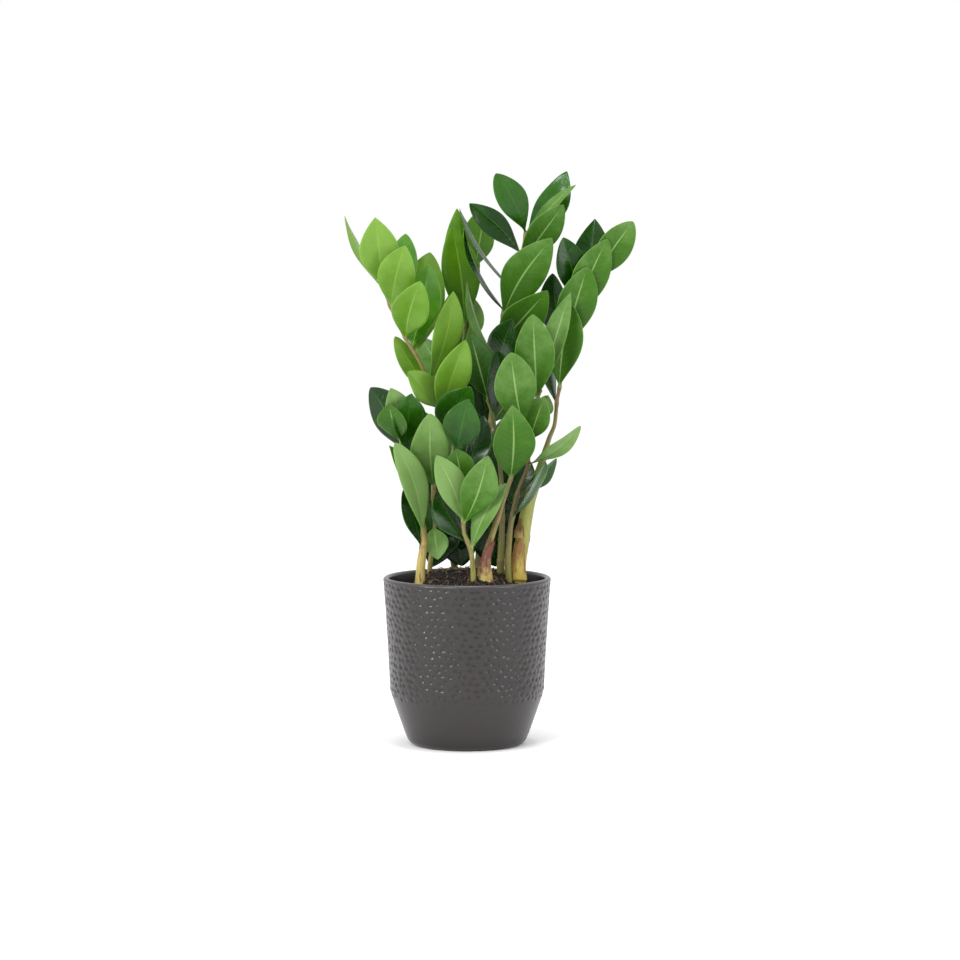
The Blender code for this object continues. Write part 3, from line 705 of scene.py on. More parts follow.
def add_blade(mesh, stem, row, seed):
    """Adds one arched, folded, gently waved leaflet to a bmesh, with its own map and attributes."""
    width, tone, bend = row[2] * MM, row[5], row[6]
    foot, axis, across, face, length, arch = blade_frame(stem, row)
    rng = random.Random(seed)
    bluntness = rng.uniform(0.3, 1.0)
    wave_phase = rng.uniform(0, 2 * math.pi)
    wave_height = rng.uniform(0.3, 1.0) * MM
    fold = BLADE_FOLD * rng.uniform(0.9, 2.2) * math.copysign(1.0, arch)
    cup = rng.uniform(0.02, 0.08) * math.copysign(1.0, arch)
    curl = rng.uniform(-0.01, 0.025) * length * math.copysign(1.0, arch)
    layers = [mesh.verts.layers.float.get(name) or mesh.verts.layers.float.new(name)
              for name in ("across", "along", "tone", "vein")]
    grid = []
    for i in range(BLADE_ROWS + 1):
        share = (1 - math.cos(math.pi * i / BLADE_ROWS)) / 2
        half = blade_half_width(share, width, bluntness)
        spine = foot + axis * length * share + across * bend * length * math.sin(math.pi * share)
        spine += face * (arch * 4 * share * (1 - share) - curl * smoothstep(0.7, 1.0, share))
        line = []
        for j in range(BLADE_COLUMNS + 1):
            u = 2 * j / BLADE_COLUMNS - 1
            u = math.copysign(abs(u) ** COLUMN_CROWDING, u)
            reach = u * half
            lift = (math.hypot(reach, CREASE_ROUNDING) - CREASE_ROUNDING) * math.tan(fold)
            lift -= cup * half * u ** 4
            phase = wave_phase + WAVE_OFFSET * math.copysign(1.0, u)
            lift += wave_height * u * u * math.sin(WAVES * share + phase)
            vein = (share * length - VEIN_SLANT * abs(reach)) / VEIN_SPACING + 0.5
            line.append((spine + across * reach + face * lift, (u, share, tone, vein)))
        grid.append(line)
    sides = []
    for direction in (1.0, -1.0):
        rows = []
        for i, line in enumerate(grid):
            share = line[0][1][1]
            swell = math.exp(-share * length / PETIOLE_RUN)
            thick = BLADE_THICKNESS + (PETIOLE_THICKNESS - BLADE_THICKNESS) * swell
            made = []
            for j, (place, values) in enumerate(line):
                du = grid[i][min(j + 1, BLADE_COLUMNS)][0] - grid[i][max(j - 1, 0)][0]
                dv = grid[min(i + 1, BLADE_ROWS)][j][0] - grid[max(i - 1, 0)][j][0]
                normal = dv.cross(du).normalized()
                if normal.dot(face) < 0:
                    normal.negate()
                rounded = math.sqrt(max(0.02, 1 - values[0] ** 6))
                point = mesh.verts.new(place + normal * direction * thick / 2 * rounded)
                for layer, value in zip(layers, values):
                    point[layer] = value
                made.append(point)
            rows.append(made)
        sides.append(rows)
    return sides


def skin_blade(mesh, sides, front_index, back_index, map_layer):
    """Faces for the two sides of a blade and the thin edge between them."""
    front, back = sides
    for i in range(BLADE_ROWS):
        for j in range(BLADE_COLUMNS):
            for rows, index, flip in ((front, front_index, False), (back, back_index, True)):
                corners = [rows[i][j], rows[i][j + 1], rows[i + 1][j + 1], rows[i + 1][j]]
                places = [(j, i), (j + 1, i), (j + 1, i + 1), (j, i + 1)]
                if flip:
                    corners.reverse()
                    places.reverse()
                made = mesh.faces.new(corners)
                made.material_index = index
                for loop, (x, y) in zip(made.loops, places):
                    loop[map_layer].uv = (x / BLADE_COLUMNS, y / BLADE_ROWS)
    ring = [(i, 0) for i in range(BLADE_ROWS + 1)]
    ring += [(BLADE_ROWS, j) for j in range(1, BLADE_COLUMNS + 1)]
    ring += [(i, BLADE_COLUMNS) for i in range(BLADE_ROWS - 1, -1, -1)]
    ring += [(0, j) for j in range(BLADE_COLUMNS - 1, 0, -1)]
    for (i, j), (k, m) in zip(ring, [*ring[1:], ring[0]]):
        made = mesh.faces.new([front[i][j], front[k][m], back[k][m], back[i][j]])
        made.material_index = front_index


def leaflet_object(name, stem, rows, finishes):
    """One mesh of one or more leaflets of a stem."""
    mesh = bmesh.new()
    map_layer = mesh.loops.layers.uv.new("blade")
    used = []
    for i, row in enumerate(rows):
        pair = (row[4], OTHER_SIDE[row[4]])
        for finish in pair:
            if finish not in used:
                used.append(finish)
        sides = add_blade(mesh, stem, row, f"{name} {i}")
        skin_blade(mesh, sides, used.index(pair[0]), used.index(pair[1]), map_layer)
    piece = mesh_object(name, mesh)
    for finish in used:
        piece.data.materials.append(finishes[finish])
    return piece


def node_heights(stem_name):
    rows = [*LEAFLETS.get(stem_name, {}).values(), *INNER_LEAFLETS.get(stem_name, [])]
    return [row[0] * MM for row in rows]


def mark_rings(data, heights):
    """Stores how close each point of a stem is to a leaflet scar."""
    rings = data.attributes.new("ring", "FLOAT", "POINT")
    for point, mark in zip(data.vertices, rings.data):
        mark.value = max(math.exp(-((point.co.z - height) / SCAR_REACH) ** 2) for height in heights)


def stem_line(name, stem):
    """A stem's centre line as a curve with a point every few millimetres, thicker at each leaflet's node."""
    curve = bpy.data.curves.new(name, "CURVE")
    curve.dimensions = "3D"
    route = smooth_route(stem.route, 6)
    spline = curve.splines.new("POLY")
    spline.points.add(len(route) - 1)
    nodes = node_heights(name)
    for point, place in zip(spline.points, route):
        swell = sum(math.exp(-((place.z - height) / SWELL_REACH) ** 2) for height in nodes)
        point.co = (*place, 1.0)
        point.radius = stem.radius(place.z) + SWELL_RADIUS * min(swell, SWELL_LIMIT)
    return new_object(name, curve)


# Geometry node trees ------------------------------------------------------------------------------


def new_tree(name, inputs):
    """An empty geometry tree with named inputs; each input is its name, socket type and default."""
    tree = bpy.data.node_groups.new(name, "GeometryNodeTree")
    tree.interface.new_socket("Geometry", in_out="INPUT", socket_type="NodeSocketGeometry")
    tree.interface.new_socket("Geometry", in_out="OUTPUT", socket_type="NodeSocketGeometry")
    for label, kind, default in inputs:
        socket = tree.interface.new_socket(label, in_out="INPUT", socket_type=f"NodeSocket{kind}")
        if default is not None:
            socket.default_value = default
    return tree, tree.nodes.new("NodeGroupInput").outputs, tree.nodes.new("NodeGroupOutput").inputs


def finish_tree(tree, geometry, material, output):
    """Realize Instances, smooth shading and Set Material close every tree."""
    real = add_node(tree, "GeometryNodeRealizeInstances", {"Geometry": geometry})
    smooth = add_node(tree, "GeometryNodeSetShadeSmooth", {"Geometry": real})
    done = add_node(tree, "GeometryNodeSetMaterial", {"Geometry": smooth, "Material": material})
    tree.links.new(done, output["Geometry"])


def run_tree(carrier, tree, values, name):
    """Runs a tree on an object, keeps the result as a plain mesh in a new object, and removes the carrier."""
    modifier = carrier.modifiers.new(tree.name, "NODES")
    modifier.node_group = tree
    for item in tree.interface.items_tree:
        if item.item_type == "SOCKET" and item.in_out == "INPUT" and item.name in values:
            modifier[item.identifier] = values[item.name]
    bpy.context.view_layer.update()
    graph = bpy.context.evaluated_depsgraph_get()
    data = bpy.data.meshes.new_from_object(carrier.evaluated_get(graph))
    data.name = name
    bpy.data.objects.remove(carrier, do_unlink=True)
    made = new_object(name, data)
    made.name = name
    return made


def swept_tube(tree, line, sides):
    """Sweeps a round section, as thick as the line's own radius, along a line and closes its ends."""
    section = add_node(tree, "GeometryNodeCurvePrimitiveCircle", {"Resolution": sides, "Radius": 1.0},
                       "Curve")
    tube = add_node(tree, "GeometryNodeCurveToMesh", {"Curve": line, "Profile Curve": section,
                                                      "Fill Caps": True})
    if "Scale" in tube.node.inputs:
        tree.links.new(add_node(tree, "GeometryNodeInputRadius"), tube.node.inputs["Scale"])
    return tube


def pushed_out(tree, geometry, amount):
    """Moves every point along its normal."""
    normal = add_node(tree, "GeometryNodeInputNormal")
    offset = add_node(tree, VECTOR_MATH, {0: normal, "Scale": amount}, operation="SCALE")
    return add_node(tree, "GeometryNodeSetPosition", {"Geometry": geometry, "Offset": offset})


def stem_tree():
    """Sweeps a round section along a stem's line, with shallow lengthwise dents."""
    tree, given, output = new_tree("swept_stem", [
        ("Sides", "Int", 16), ("Ring Spacing", "Float", RING_SPACING), ("Dent", "Float", 0.00015),
        ("Seed", "Float", 0.0), ("Skin", "Material", None)])
    node = partial(add_node, tree)
    line = node("GeometryNodeResampleCurve", {"Curve": given["Geometry"], "Length": given["Ring Spacing"]},
                mode="LENGTH")
    tube = swept_tube(tree, line, given["Sides"])
    place = node("GeometryNodeInputPosition")
    stretched = node(VECTOR_MATH, (place, (1.0, 1.0, 0.15)), operation="MULTIPLY")
    wobble = node(NOISE, {"Vector": stretched, "W": given["Seed"], "Scale": 420.0, "Detail": 1.0}, "Fac",
                  noise_dimensions="4D")
    wobble = node(MATH, (wobble, 0.5), operation="SUBTRACT")
    amount = node(MATH, (wobble, given["Dent"]), operation="MULTIPLY")
    finish_tree(tree, pushed_out(tree, tube, amount), given["Skin"], output)
    return tree


def hammered_tree():
    """Presses a staggered, jittered pattern of shallow bowls into the outer wall of a turned pot.

    The pattern is laid out on a cylinder of one radius, so that it closes round the pot. Each point of the
    wall finds its nearest bowl there and moves inwards by the bowl's depth. Points whose "outer" is 0 stay.
    """
    tree, given, output = new_tree("hammered_wall", [
        ("Columns", "Int", 62), ("Rows", "Int", 17), ("Row Pitch", "Float", 0.0055),
        ("Top Row", "Float", 0.127), ("Cylinder", "Float", 0.067), ("Bowl Radius", "Float", 0.0026),
        ("Bowl Depth", "Float", 0.0006), ("Height Stretch", "Float", 1.25), ("Jitter", "Float", 0.2),
        ("Seed", "Int", 5), ("Glaze", "Material", None)])
    node = partial(add_node, tree)
    index = node("GeometryNodeInputIndex")

    def random_value(low, high, shift):
        seed = node(MATH, (given["Seed"], shift), operation="ADD")
        return node("FunctionNodeRandomValue", {2: low, 3: high, "ID": index, "Seed": seed}, 1,
                    data_type="FLOAT")

    column = node(MATH, (index, given["Columns"]), operation="FLOORED_MODULO")
    row = node(MATH, (node(MATH, (index, given["Columns"]), operation="DIVIDE"),), operation="FLOOR")
    stagger = node(MATH, (node(MATH, (row, 2.0), operation="FLOORED_MODULO"), 0.5), operation="MULTIPLY")
    jitter_round = node(MATH, (random_value(-1.0, 1.0, 0.0), given["Jitter"]), operation="MULTIPLY")
    jitter_up = node(MATH, (random_value(-1.0, 1.0, 11.0), given["Jitter"]), operation="MULTIPLY")
    steps = node(MATH, (node(MATH, (column, stagger), operation="ADD"), jitter_round), operation="ADD")
    turn = node(MATH, (node(MATH, (steps, given["Columns"]), operation="DIVIDE"), 2 * math.pi),
                operation="MULTIPLY")
    drop = node(MATH, (node(MATH, (row, jitter_up), operation="ADD"), given["Row Pitch"]),
                operation="MULTIPLY")
    height = node(MATH, (node(MATH, (given["Top Row"], drop), operation="SUBTRACT"), given["Height Stretch"]),
                  operation="MULTIPLY")
    bowl_x = node(MATH, (node(MATH, (turn,), operation="COSINE"), given["Cylinder"]), operation="MULTIPLY")
    bowl_y = node(MATH, (node(MATH, (turn,), operation="SINE"), given["Cylinder"]), operation="MULTIPLY")
    spot = node("ShaderNodeCombineXYZ", (bowl_x, bowl_y, height))
    count = node(MATH, (given["Columns"], given["Rows"]), operation="MULTIPLY")
    bowls = node("GeometryNodePoints", {"Count": count, "Position": spot})

    place = node("ShaderNodeSeparateXYZ", (node("GeometryNodeInputPosition"),)).node.outputs
    flat = node("ShaderNodeCombineXYZ", {"X": place["X"], "Y": place["Y"]})
    outward = node(VECTOR_MATH, (flat,), operation="NORMALIZE")
    round_place = node(VECTOR_MATH, {0: outward, "Scale": given["Cylinder"]}, operation="SCALE")
    up = node("ShaderNodeCombineXYZ",
              {"Z": node(MATH, (place["Z"], given["Height Stretch"]), operation="MULTIPLY")})
    unrolled = node(VECTOR_MATH, (round_place, up), operation="ADD")
    nearest = node("GeometryNodeSampleNearest", {"Geometry": bowls, "Sample Position": unrolled},
                   domain="POINT")

    def at_bowl(kind, value):
        return node("GeometryNodeSampleIndex", {"Geometry": bowls, "Value": value, "Index": nearest},
                    data_type=kind, domain="POINT")

    centre = at_bowl("FLOAT_VECTOR", node("GeometryNodeInputPosition"))
    strength = at_bowl("FLOAT", random_value(0.65, 1.1, 23.0))
    width = at_bowl("FLOAT", random_value(0.85, 1.12, 37.0))
    gap = node(VECTOR_MATH, (unrolled, centre), "Value", operation="DISTANCE")
    radius = node(MATH, (width, given["Bowl Radius"]), operation="MULTIPLY")
    reach = node(MATH, (gap, radius), operation="DIVIDE")
    rim = node(MATH, (1.0, node(MATH, (reach, reach), operation="MULTIPLY")), operation="SUBTRACT",
               use_clamp=True)
    bowl = node(MATH, (node(MATH, (rim, 1.5), operation="POWER"), strength), operation="MULTIPLY")
    outer = node("GeometryNodeInputNamedAttribute", {"Name": "outer"}, data_type="FLOAT")
    bowl = node(MATH, (bowl, outer), operation="MULTIPLY")
    depth = node(MATH, (node(MATH, (bowl, given["Bowl Depth"]), operation="MULTIPLY"), -1.0),
                 operation="MULTIPLY")
    offset = node(VECTOR_MATH, {0: outward, "Scale": depth}, operation="SCALE")
    # The bowl's depth is stored for the glaze, which paints painted shade into each bowl.
    marked = node("GeometryNodeStoreNamedAttribute", {"Geometry": given["Geometry"], "Name": "dimple",
                                                      "Value": bowl}, data_type="FLOAT", domain="POINT")
    pressed = node("GeometryNodeSetPosition", {"Geometry": marked, "Offset": offset})
    finish_tree(tree, pressed, given["Glaze"], output)
    return tree


def crumb_tree():
    """Scatters rough lumps over the compost, each a small ball pushed out of round."""
    tree, given, output = new_tree("scattered_crumbs", [
        ("Density", "Float", 60000.0), ("Small", "Float", 0.0006), ("Large", "Float", 0.0022),
        ("Seed", "Int", 3), ("Earth", "Material", None)])
    node = partial(add_node, tree)
    chosen = {"Mesh": given["Geometry"], "Density": given["Density"], "Seed": given["Seed"]}
    spots = node("GeometryNodeDistributePointsOnFaces", chosen, distribute_method="RANDOM")
    ball = node("GeometryNodeMeshIcoSphere", {"Radius": 1.0, "Subdivisions": 2})
    turn = node("FunctionNodeRandomValue", {0: (0.0, 0.0, 0.0), 1: (6.28, 6.28, 6.28), "Seed": given["Seed"]},
                data_type="FLOAT_VECTOR")
    draw = node("FunctionNodeRandomValue", {2: 0.0, 3: 1.0, "Seed": given["Seed"]}, 1, data_type="FLOAT")
    size = node(MATH, (draw, 3.0), operation="POWER")
    span = node(MATH, (given["Large"], given["Small"]), operation="SUBTRACT")
    size = node(MATH, (size, span, given["Small"]), operation="MULTIPLY_ADD")
    squash = node("FunctionNodeRandomValue", {0: (0.6, 0.6, 0.45), 1: (1.4, 1.1, 0.9), "Seed": given["Seed"]},
                  data_type="FLOAT_VECTOR")
    scale = node(VECTOR_MATH, {0: squash, "Scale": size}, operation="SCALE")
    lumps = node("GeometryNodeInstanceOnPoints", {"Points": spots, "Instance": ball, "Rotation": turn,
                                                  "Scale": scale})
    real = node("GeometryNodeRealizeInstances", {"Geometry": lumps})
    place = node("GeometryNodeInputPosition")
    rough = node(NOISE, {"Vector": place, "Scale": 900.0, "Detail": 2.0}, "Fac")
    push = node(MATH, (node(MATH, (rough, 0.5), operation="SUBTRACT"), 0.0016), operation="MULTIPLY")
    finish_tree(tree, pushed_out(tree, real, push), given["Earth"], output)
    return tree


def fibre_tree():
    """Gives every strand of a curve object a thin round section that tapers to its ends."""
    tree, given, output = new_tree("root_fibres", [
        ("Thickness", "Float", 0.0005), ("Sides", "Int", 5), ("Fibre", "Material", None)])
    node = partial(add_node, tree)
    share = node("GeometryNodeSplineParameter", out="Factor")
    thin = node(MATH, (1.0, node(MATH, (share, 0.7), operation="MULTIPLY")), operation="SUBTRACT")
    radius = node(MATH, (thin, node(MATH, (given["Thickness"], 0.5), operation="MULTIPLY")),
                  operation="MULTIPLY")
    strands = node("GeometryNodeSetCurveRadius", {"Curve": given["Geometry"], "Radius": radius})
    finish_tree(tree, swept_tube(tree, strands, given["Sides"]), given["Fibre"], output)
    return tree


# Pot and compost ----------------------------------------------------------------------------------

POT_RIM_RADIUS = POT_HIGH.x
POT_HEIGHT = POT_HIGH.z
POT_KINK_RADIUS = 0.0646
POT_KINK_HEIGHT = 0.047
POT_FLARE = 1.25
POT_CONE_START = 0.0475
POT_FOOT_RADIUS = 0.043
POT_FOOT_ROUND = 0.0075
POT_WALL = 0.005
POT_FLOOR = 0.006
POT_FLOOR_ROUND = 0.004
KINK_SOFTNESS = 0.0022
# How far the wall above leans in below the kink, as a share of the height
KINK_LEAN = 0.010
POT_STEPS = 520
POT_AXIS_GAP = 0.0008
POT_FLOOR_EDGE = 0.040
POT_UNDER_EDGE = 0.036
INSIDE_START = 0.014
INSIDE_STEP = 0.008
INSIDE_ROWS = 15
BAND_TOP = 0.1365
BAND_STEP = 0.0009
BAND_ROWS = 120
CONE_STEP = 0.0018
CONE_ROWS = 11
HEIGHT_STRETCH = 1.45
BOWL_JITTER = 0.25
BOWL_SEED = 5


def pot_outer_radius(height):
    """Outer radius of the cover pot, with the kink between cone and wall eased over a few millimetres."""
    cone = POT_CONE_START + (POT_KINK_RADIUS - POT_CONE_START) * height / POT_KINK_HEIGHT
    share = max(0.0, height - POT_KINK_HEIGHT) / (POT_HEIGHT - POT_KINK_HEIGHT)
    wall = POT_KINK_RADIUS + (POT_RIM_RADIUS - POT_KINK_RADIUS) * share ** POT_FLARE
    wall -= KINK_LEAN * max(0.0, POT_KINK_HEIGHT - height)
    gap = wall - cone
    return wall - (gap + math.hypot(gap, KINK_SOFTNESS) - KINK_SOFTNESS) / 2 if gap > 0 else wall


def arc(centre, radius, start, end, count):
    """Points (r, z) on an arc whose angles are in degrees from +r towards +z."""
    turns = [math.radians(start + (end - start) * i / (count - 1)) for i in range(count)]
    return [(centre[0] + radius * math.cos(a), centre[1] + radius * math.sin(a)) for a in turns]


def pot_profile():
    """The pot's section in four runs: inside from the axis, over the lip, down the wall, under the foot."""
    lip = POT_WALL / 2
    heights = [INSIDE_START + INSIDE_STEP * i for i in range(INSIDE_ROWS)]
    inside = [(pot_outer_radius(z) - POT_WALL, z) for z in heights]
    floor_corner = arc((POT_FLOOR_EDGE, POT_FLOOR + POT_FLOOR_ROUND), POT_FLOOR_ROUND, -90, -20, 5)
    over_lip = arc((POT_RIM_RADIUS - lip, POT_HEIGHT - lip), lip, 180, 0, 15)
    band = [BAND_TOP - BAND_STEP * i for i in range(BAND_ROWS)]
    outside = [(pot_outer_radius(z), z) for z in band]
    below = [band[-1] - CONE_STEP * (i + 1) for i in range(CONE_ROWS)]
    cone = [(pot_outer_radius(z), z) for z in below if z > POT_FOOT_ROUND + MM]
    foot = arc((POT_FOOT_RADIUS, POT_FOOT_ROUND), POT_FOOT_ROUND, -15, -90, 10)
    inner = [(POT_AXIS_GAP, POT_FLOOR), (POT_FLOOR_EDGE / 2, POT_FLOOR), *floor_corner, *inside]
    under = [(POT_UNDER_EDGE, 0.0), (POT_FLOOR_EDGE / 2, 0.0), (POT_AXIS_GAP, 0.0)]
    return inner, over_lip, outside + cone, [*foot, *under]


def turned_pot(name):
    """The pot's wall as a fine lathe mesh, with "outer" and the mask of the lip's painted highlight on its
    points.
    """
    inner, over_lip, outside, below = pot_profile()
    mesh = bmesh.new()
    outer_layer = mesh.verts.layers.float.new("outer")
    highlight_layer = mesh.verts.layers.float.new("glaze_break")
    rows = []
    for part, profile in (("inner", inner), ("lip", over_lip), ("wall", outside), ("foot", below)):
        for place, (r, z) in enumerate(profile):
            ring = []
            for k in range(POT_STEPS):
                turn = 2 * math.pi * k / POT_STEPS
                point = mesh.verts.new((r * math.cos(turn), r * math.sin(turn), z))
                point[outer_layer] = 1.0 if part == "wall" else 0.0
                # The lip's painted highlight, strongest at the crest of the lip.
                point[highlight_layer] = math.sin(math.pi * place / (len(profile) - 1)) if part == "lip" else 0.0
                ring.append(point)
            rows.append(ring)
    skin_rings(mesh, rows)
    mesh.faces.new(rows[0])
    mesh.faces.new(rows[-1])
    return mesh_object(name, mesh)


# The mound's section as (radius, drop below its crest), the heap left of its middle, and its lumps
MOUND = ((0.0, 0.0), (0.018, 0.0005), (0.032, 0.003), (0.043, 0.009), (0.050, 0.018), (0.0545, 0.0275))
HEAP_X, HEAP_Y, HEAP_REACH, HEAP_RISE = -0.016, -0.018, 0.013, 0.0035
LUMPS = ((0.014, 0.0018), (0.005, 0.0012), (0.002, 0.0007))
MOUND_RINGS = 60
MOUND_STEPS = 180
MOUND_EDGE = 0.0528
MOUND_SKIRT = 0.09
STRAND_POINTS = 12
STRAND_LENGTH = 0.022
STRAND_SPREAD = 0.044
STRAND_HUMP = 0.0035
STRAND_GAP = 0.0003
STRAND_CURL = 0.6


def mound_height(x, y):
    """Height of the compost's crumbly top: the mound's smooth shape, a heap and three sizes of lump."""
    r = math.hypot(x, y)
    crest = SOIL_HIGH.z
    height = crest - MOUND[-1][1]
    for (r0, drop0), (r1, drop1) in pairwise(MOUND):
        if r <= r1:
            height = crest - drop0 - (drop1 - drop0) * max(0.0, r - r0) / (r1 - r0)
            break
    height += HEAP_RISE * math.exp(-((x - HEAP_X) ** 2 + (y - HEAP_Y) ** 2) / HEAP_REACH ** 2)
    for size, lift in LUMPS:
        height += lift * noise.noise(Vector((x / size, y / size, size * 1000)))
    return height


def mound_mesh(name):
    """The top of the root ball as a dense grid that follows the mound and tucks under its edge."""
    mesh = bmesh.new()
    rows = []
    for i in range(1, MOUND_RINGS + 1):
        r = MOUND_EDGE * i / MOUND_RINGS
        ring = []
        for k in range(MOUND_STEPS):
            turn = 2 * math.pi * k / MOUND_STEPS
            x, y = r * math.cos(turn), r * math.sin(turn)
            ring.append(mesh.verts.new((x, y, mound_height(x, y))))
        rows.append(ring)
    rows.append([mesh.verts.new((p.co.x * 0.98, p.co.y * 0.98, SOIL_LOW.z + MOUND_SKIRT)) for p in rows[-1]])
    top = mesh.verts.new((0.0, 0.0, mound_height(0.0, 0.0)))
    for k, point in enumerate(rows[0]):
        mesh.faces.new([top, point, rows[0][(k + 1) % MOUND_STEPS]])
    skin_rings(mesh, rows)
    mesh.faces.new(rows[-1])
    return mesh_object(name, mesh)


def fibre_lines(name, count):
    """Loose strands that lie on the mound and curl over one another."""
    rng = random.Random("roots")
    curve = bpy.data.curves.new(name, "CURVE")
    curve.dimensions = "3D"
    for _ in range(count):
        r, turn = STRAND_SPREAD * math.sqrt(rng.random()), rng.uniform(0, 2 * math.pi)
        x, y = r * math.cos(turn), r * math.sin(turn)
        heading = rng.uniform(0, 2 * math.pi)
        stride = rng.uniform(0.4, 1.0) * STRAND_LENGTH / STRAND_POINTS
        hump = rng.uniform(0.0, STRAND_HUMP)
        spline = curve.splines.new("POLY")
        spline.points.add(STRAND_POINTS - 1)
        for i, point in enumerate(spline.points):
            rise = STRAND_GAP + hump * math.sin(math.pi * i / (STRAND_POINTS - 1))
            point.co = (x, y, mound_height(x, y) + rise, 1.0)
            heading += rng.uniform(-STRAND_CURL, STRAND_CURL)
            x += stride * math.cos(heading)
            y += stride * math.sin(heading)
    return new_object(name, curve)


def sheath_mesh(name, stem, row):
    """A torn, papery strip round a stem's foot, with a ragged pointed mouth."""
    _, low, high, facing, wrap, foot_off, mouth_off = row[:7]
    mesh = bmesh.new()
    layers = [mesh.verts.layers.float.new(label) for label in ("across", "along")]
    grid = []
    for i in range(SHEATH_ROWS + 1):
        line = []
        for j in range(SHEATH_COLUMNS + 1):
            u = 2 * j / SHEATH_COLUMNS - 1
            # Broad tears, and a finer fray on them
            torn = noise.noise(Vector((u * 4.5, high, 0.3))) * 0.35
            torn += noise.noise(Vector((u * 14, low, 1.7))) * 0.15
            peak = max(SHEATH_LEAST, max(0.0, 1 - abs(u - SHEATH_POINT)) ** 0.8 + torn)
            share = i / SHEATH_ROWS
            height = (low + (high - low) * share * min(1.0, peak)) * MM
            centre, _ = stem.at(height)
            turn = math.radians(facing + 180 + wrap / 2 * u)
            off = (foot_off + (mouth_off - foot_off) * share) * MM
            fold = SHEATH_FOLD * noise.noise(Vector((u * 8, share * 1.5, 4.0)))
            reach = stem.radius(height) + SHEATH_GAP + max(0.0, off + fold)
            x, y = centre.x + reach * math.cos(turn), centre.y + reach * math.sin(turn)
            point = mesh.verts.new((x, y, height))
            point[layers[0]] = abs(u)
            point[layers[1]] = share
            line.append(point)
        grid.append(line)
    for low_line, high_line in pairwise(grid):
        for j in range(SHEATH_COLUMNS):
            mesh.faces.new([low_line[j], low_line[j + 1], high_line[j + 1], high_line[j]])
    piece = mesh_object(name, mesh)
    wall = piece.modifiers.new("thickness", "SOLIDIFY")
    wall.thickness = SHEATH_THICKNESS
    wall.offset = 0.0
    return piece


# Stage --------------------------------------------------------------------------------------------

AIM = (0.0108, 0.0, 0.2208)
FLOOR_SIZE = 6.0
FLOOR_GAP = 0.0002
SENSOR = 36.0
# Each studio lamp: its place, the side of its square in metres and its power in watts
LAMPS = {
    "left_softbox": ((-1.7, -1.2, 0.9), 0.5, 18.0),
    "right_softbox": ((1.7, -1.2, 0.8), 0.9, 12.0),
    "front_softbox": ((-0.9, -2.0, 1.3), 0.4, 16.0),
    "top_softbox": ((0.1, -0.2, 2.0), 0.7, 14.0),
}

# Settings that a user would change ----------------------------------------------------------------


def length(name, description, default):
    return bpy.props.FloatProperty(name=name, description=description, default=default, min=0.0,
                                   subtype="DISTANCE", unit="LENGTH")


def roughness(name, description, default):
    return bpy.props.FloatProperty(name=name, description=description, default=default, min=0.0, max=1.0,
                                   subtype="FACTOR")


def colour(name, description, hex_colour):
    return bpy.props.FloatVectorProperty(name=name, description=description, default=linear(hex_colour),
                                         size=4,
                                         min=0.0, max=1.0, subtype="COLOR")


class PotSettings(bpy.types.PropertyGroup):
    """Sizes of the hammered wall and the colour of its glaze"""

    columns: bpy.props.IntProperty(name="Dimples round", description="Dimples in one row", default=62, min=8)
    rows: bpy.props.IntProperty(name="Rows", description="Rows of dimples", default=18, min=1)
    row_pitch: length("Row pitch", "Height from row to row", 0.0055)
    top_row: length("Top row", "Height of the first row", 0.1355)
    bowl_radius: length("Dimple radius", "Radius of one dimple", 0.0032)
    bowl_depth: length("Dimple depth", "Depth of one dimple", 0.00085)
    glaze: colour("Glaze", "Darker of the two tones of the glaze", "#171112")


class LeafSettings(bpy.types.PropertyGroup):
    """Roughness and middle green of the four leaf skins"""

    young_under_gloss: roughness("Young roughness", "Roughness of a young underside", 0.40)
    young_upper_gloss: roughness("Young upper roughness", "Roughness of a young upper side", 0.32)
    mature_under_gloss: roughness("Under roughness", "Roughness of a mature underside", 0.42)
    mature_upper_gloss: roughness("Upper roughness", "Roughness of a mature upper side", 0.24)
    young_under_green: colour("Young green", "Middle green of a young underside", "#487400")
    young_upper_green: colour("Young upper green", "Middle green of a young upper side", "#336A00")
    mature_under_green: colour("Under green", "Middle green of a mature underside", "#345F0C")
    mature_upper_green: colour("Upper green", "Middle green of a mature upper side", "#0F3402")


class CompostSettings(bpy.types.PropertyGroup):
    """How much lies on the compost"""

    crumb_density: bpy.props.FloatProperty(name="Crumbs", description="Crumbs for each square metre",
                                           default=110000.0, min=0.0)
    strands: bpy.props.IntProperty(name="Root fibres", description="Loose strands on the compost",
                                   default=170, min=1)


class StageSettings(bpy.types.PropertyGroup):
    """Where the camera stands and how long its lens is"""

    lens: bpy.props.FloatProperty(name="Lens", description="Focal length of the camera in millimetres",
                                  default=135.6)
    distance: length("Distance", "Camera to plant", 3.01)
    elevation: bpy.props.FloatProperty(name="Elevation", description="How far the camera looks down",
                                       default=math.radians(4.8), subtype="ANGLE", unit="ROTATION")


# Operators ----------------------------------------------------------------------------------------


class PLANT_OT_finishes(bpy.types.Operator):
    """Make the leaf skins that every leaflet shares"""

    bl_idname = "zz_plant.finishes"
    bl_label = "Leaf skins"

    def execute(self, context):
        look = context.scene.zz_leaves
        for name, (deep, pale, rib, rim, ripple, waxy) in LEAF_SKINS.items():
            flesh = (linear(deep), tuple(getattr(look, f"{name}_green")), linear(pale))
            gloss = getattr(look, f"{name}_gloss")
            leaf_finish(f"waxy_cuticle_{name}", flesh, linear(rib), linear(rim), gloss, ripple, waxy)
        return {"FINISHED"}


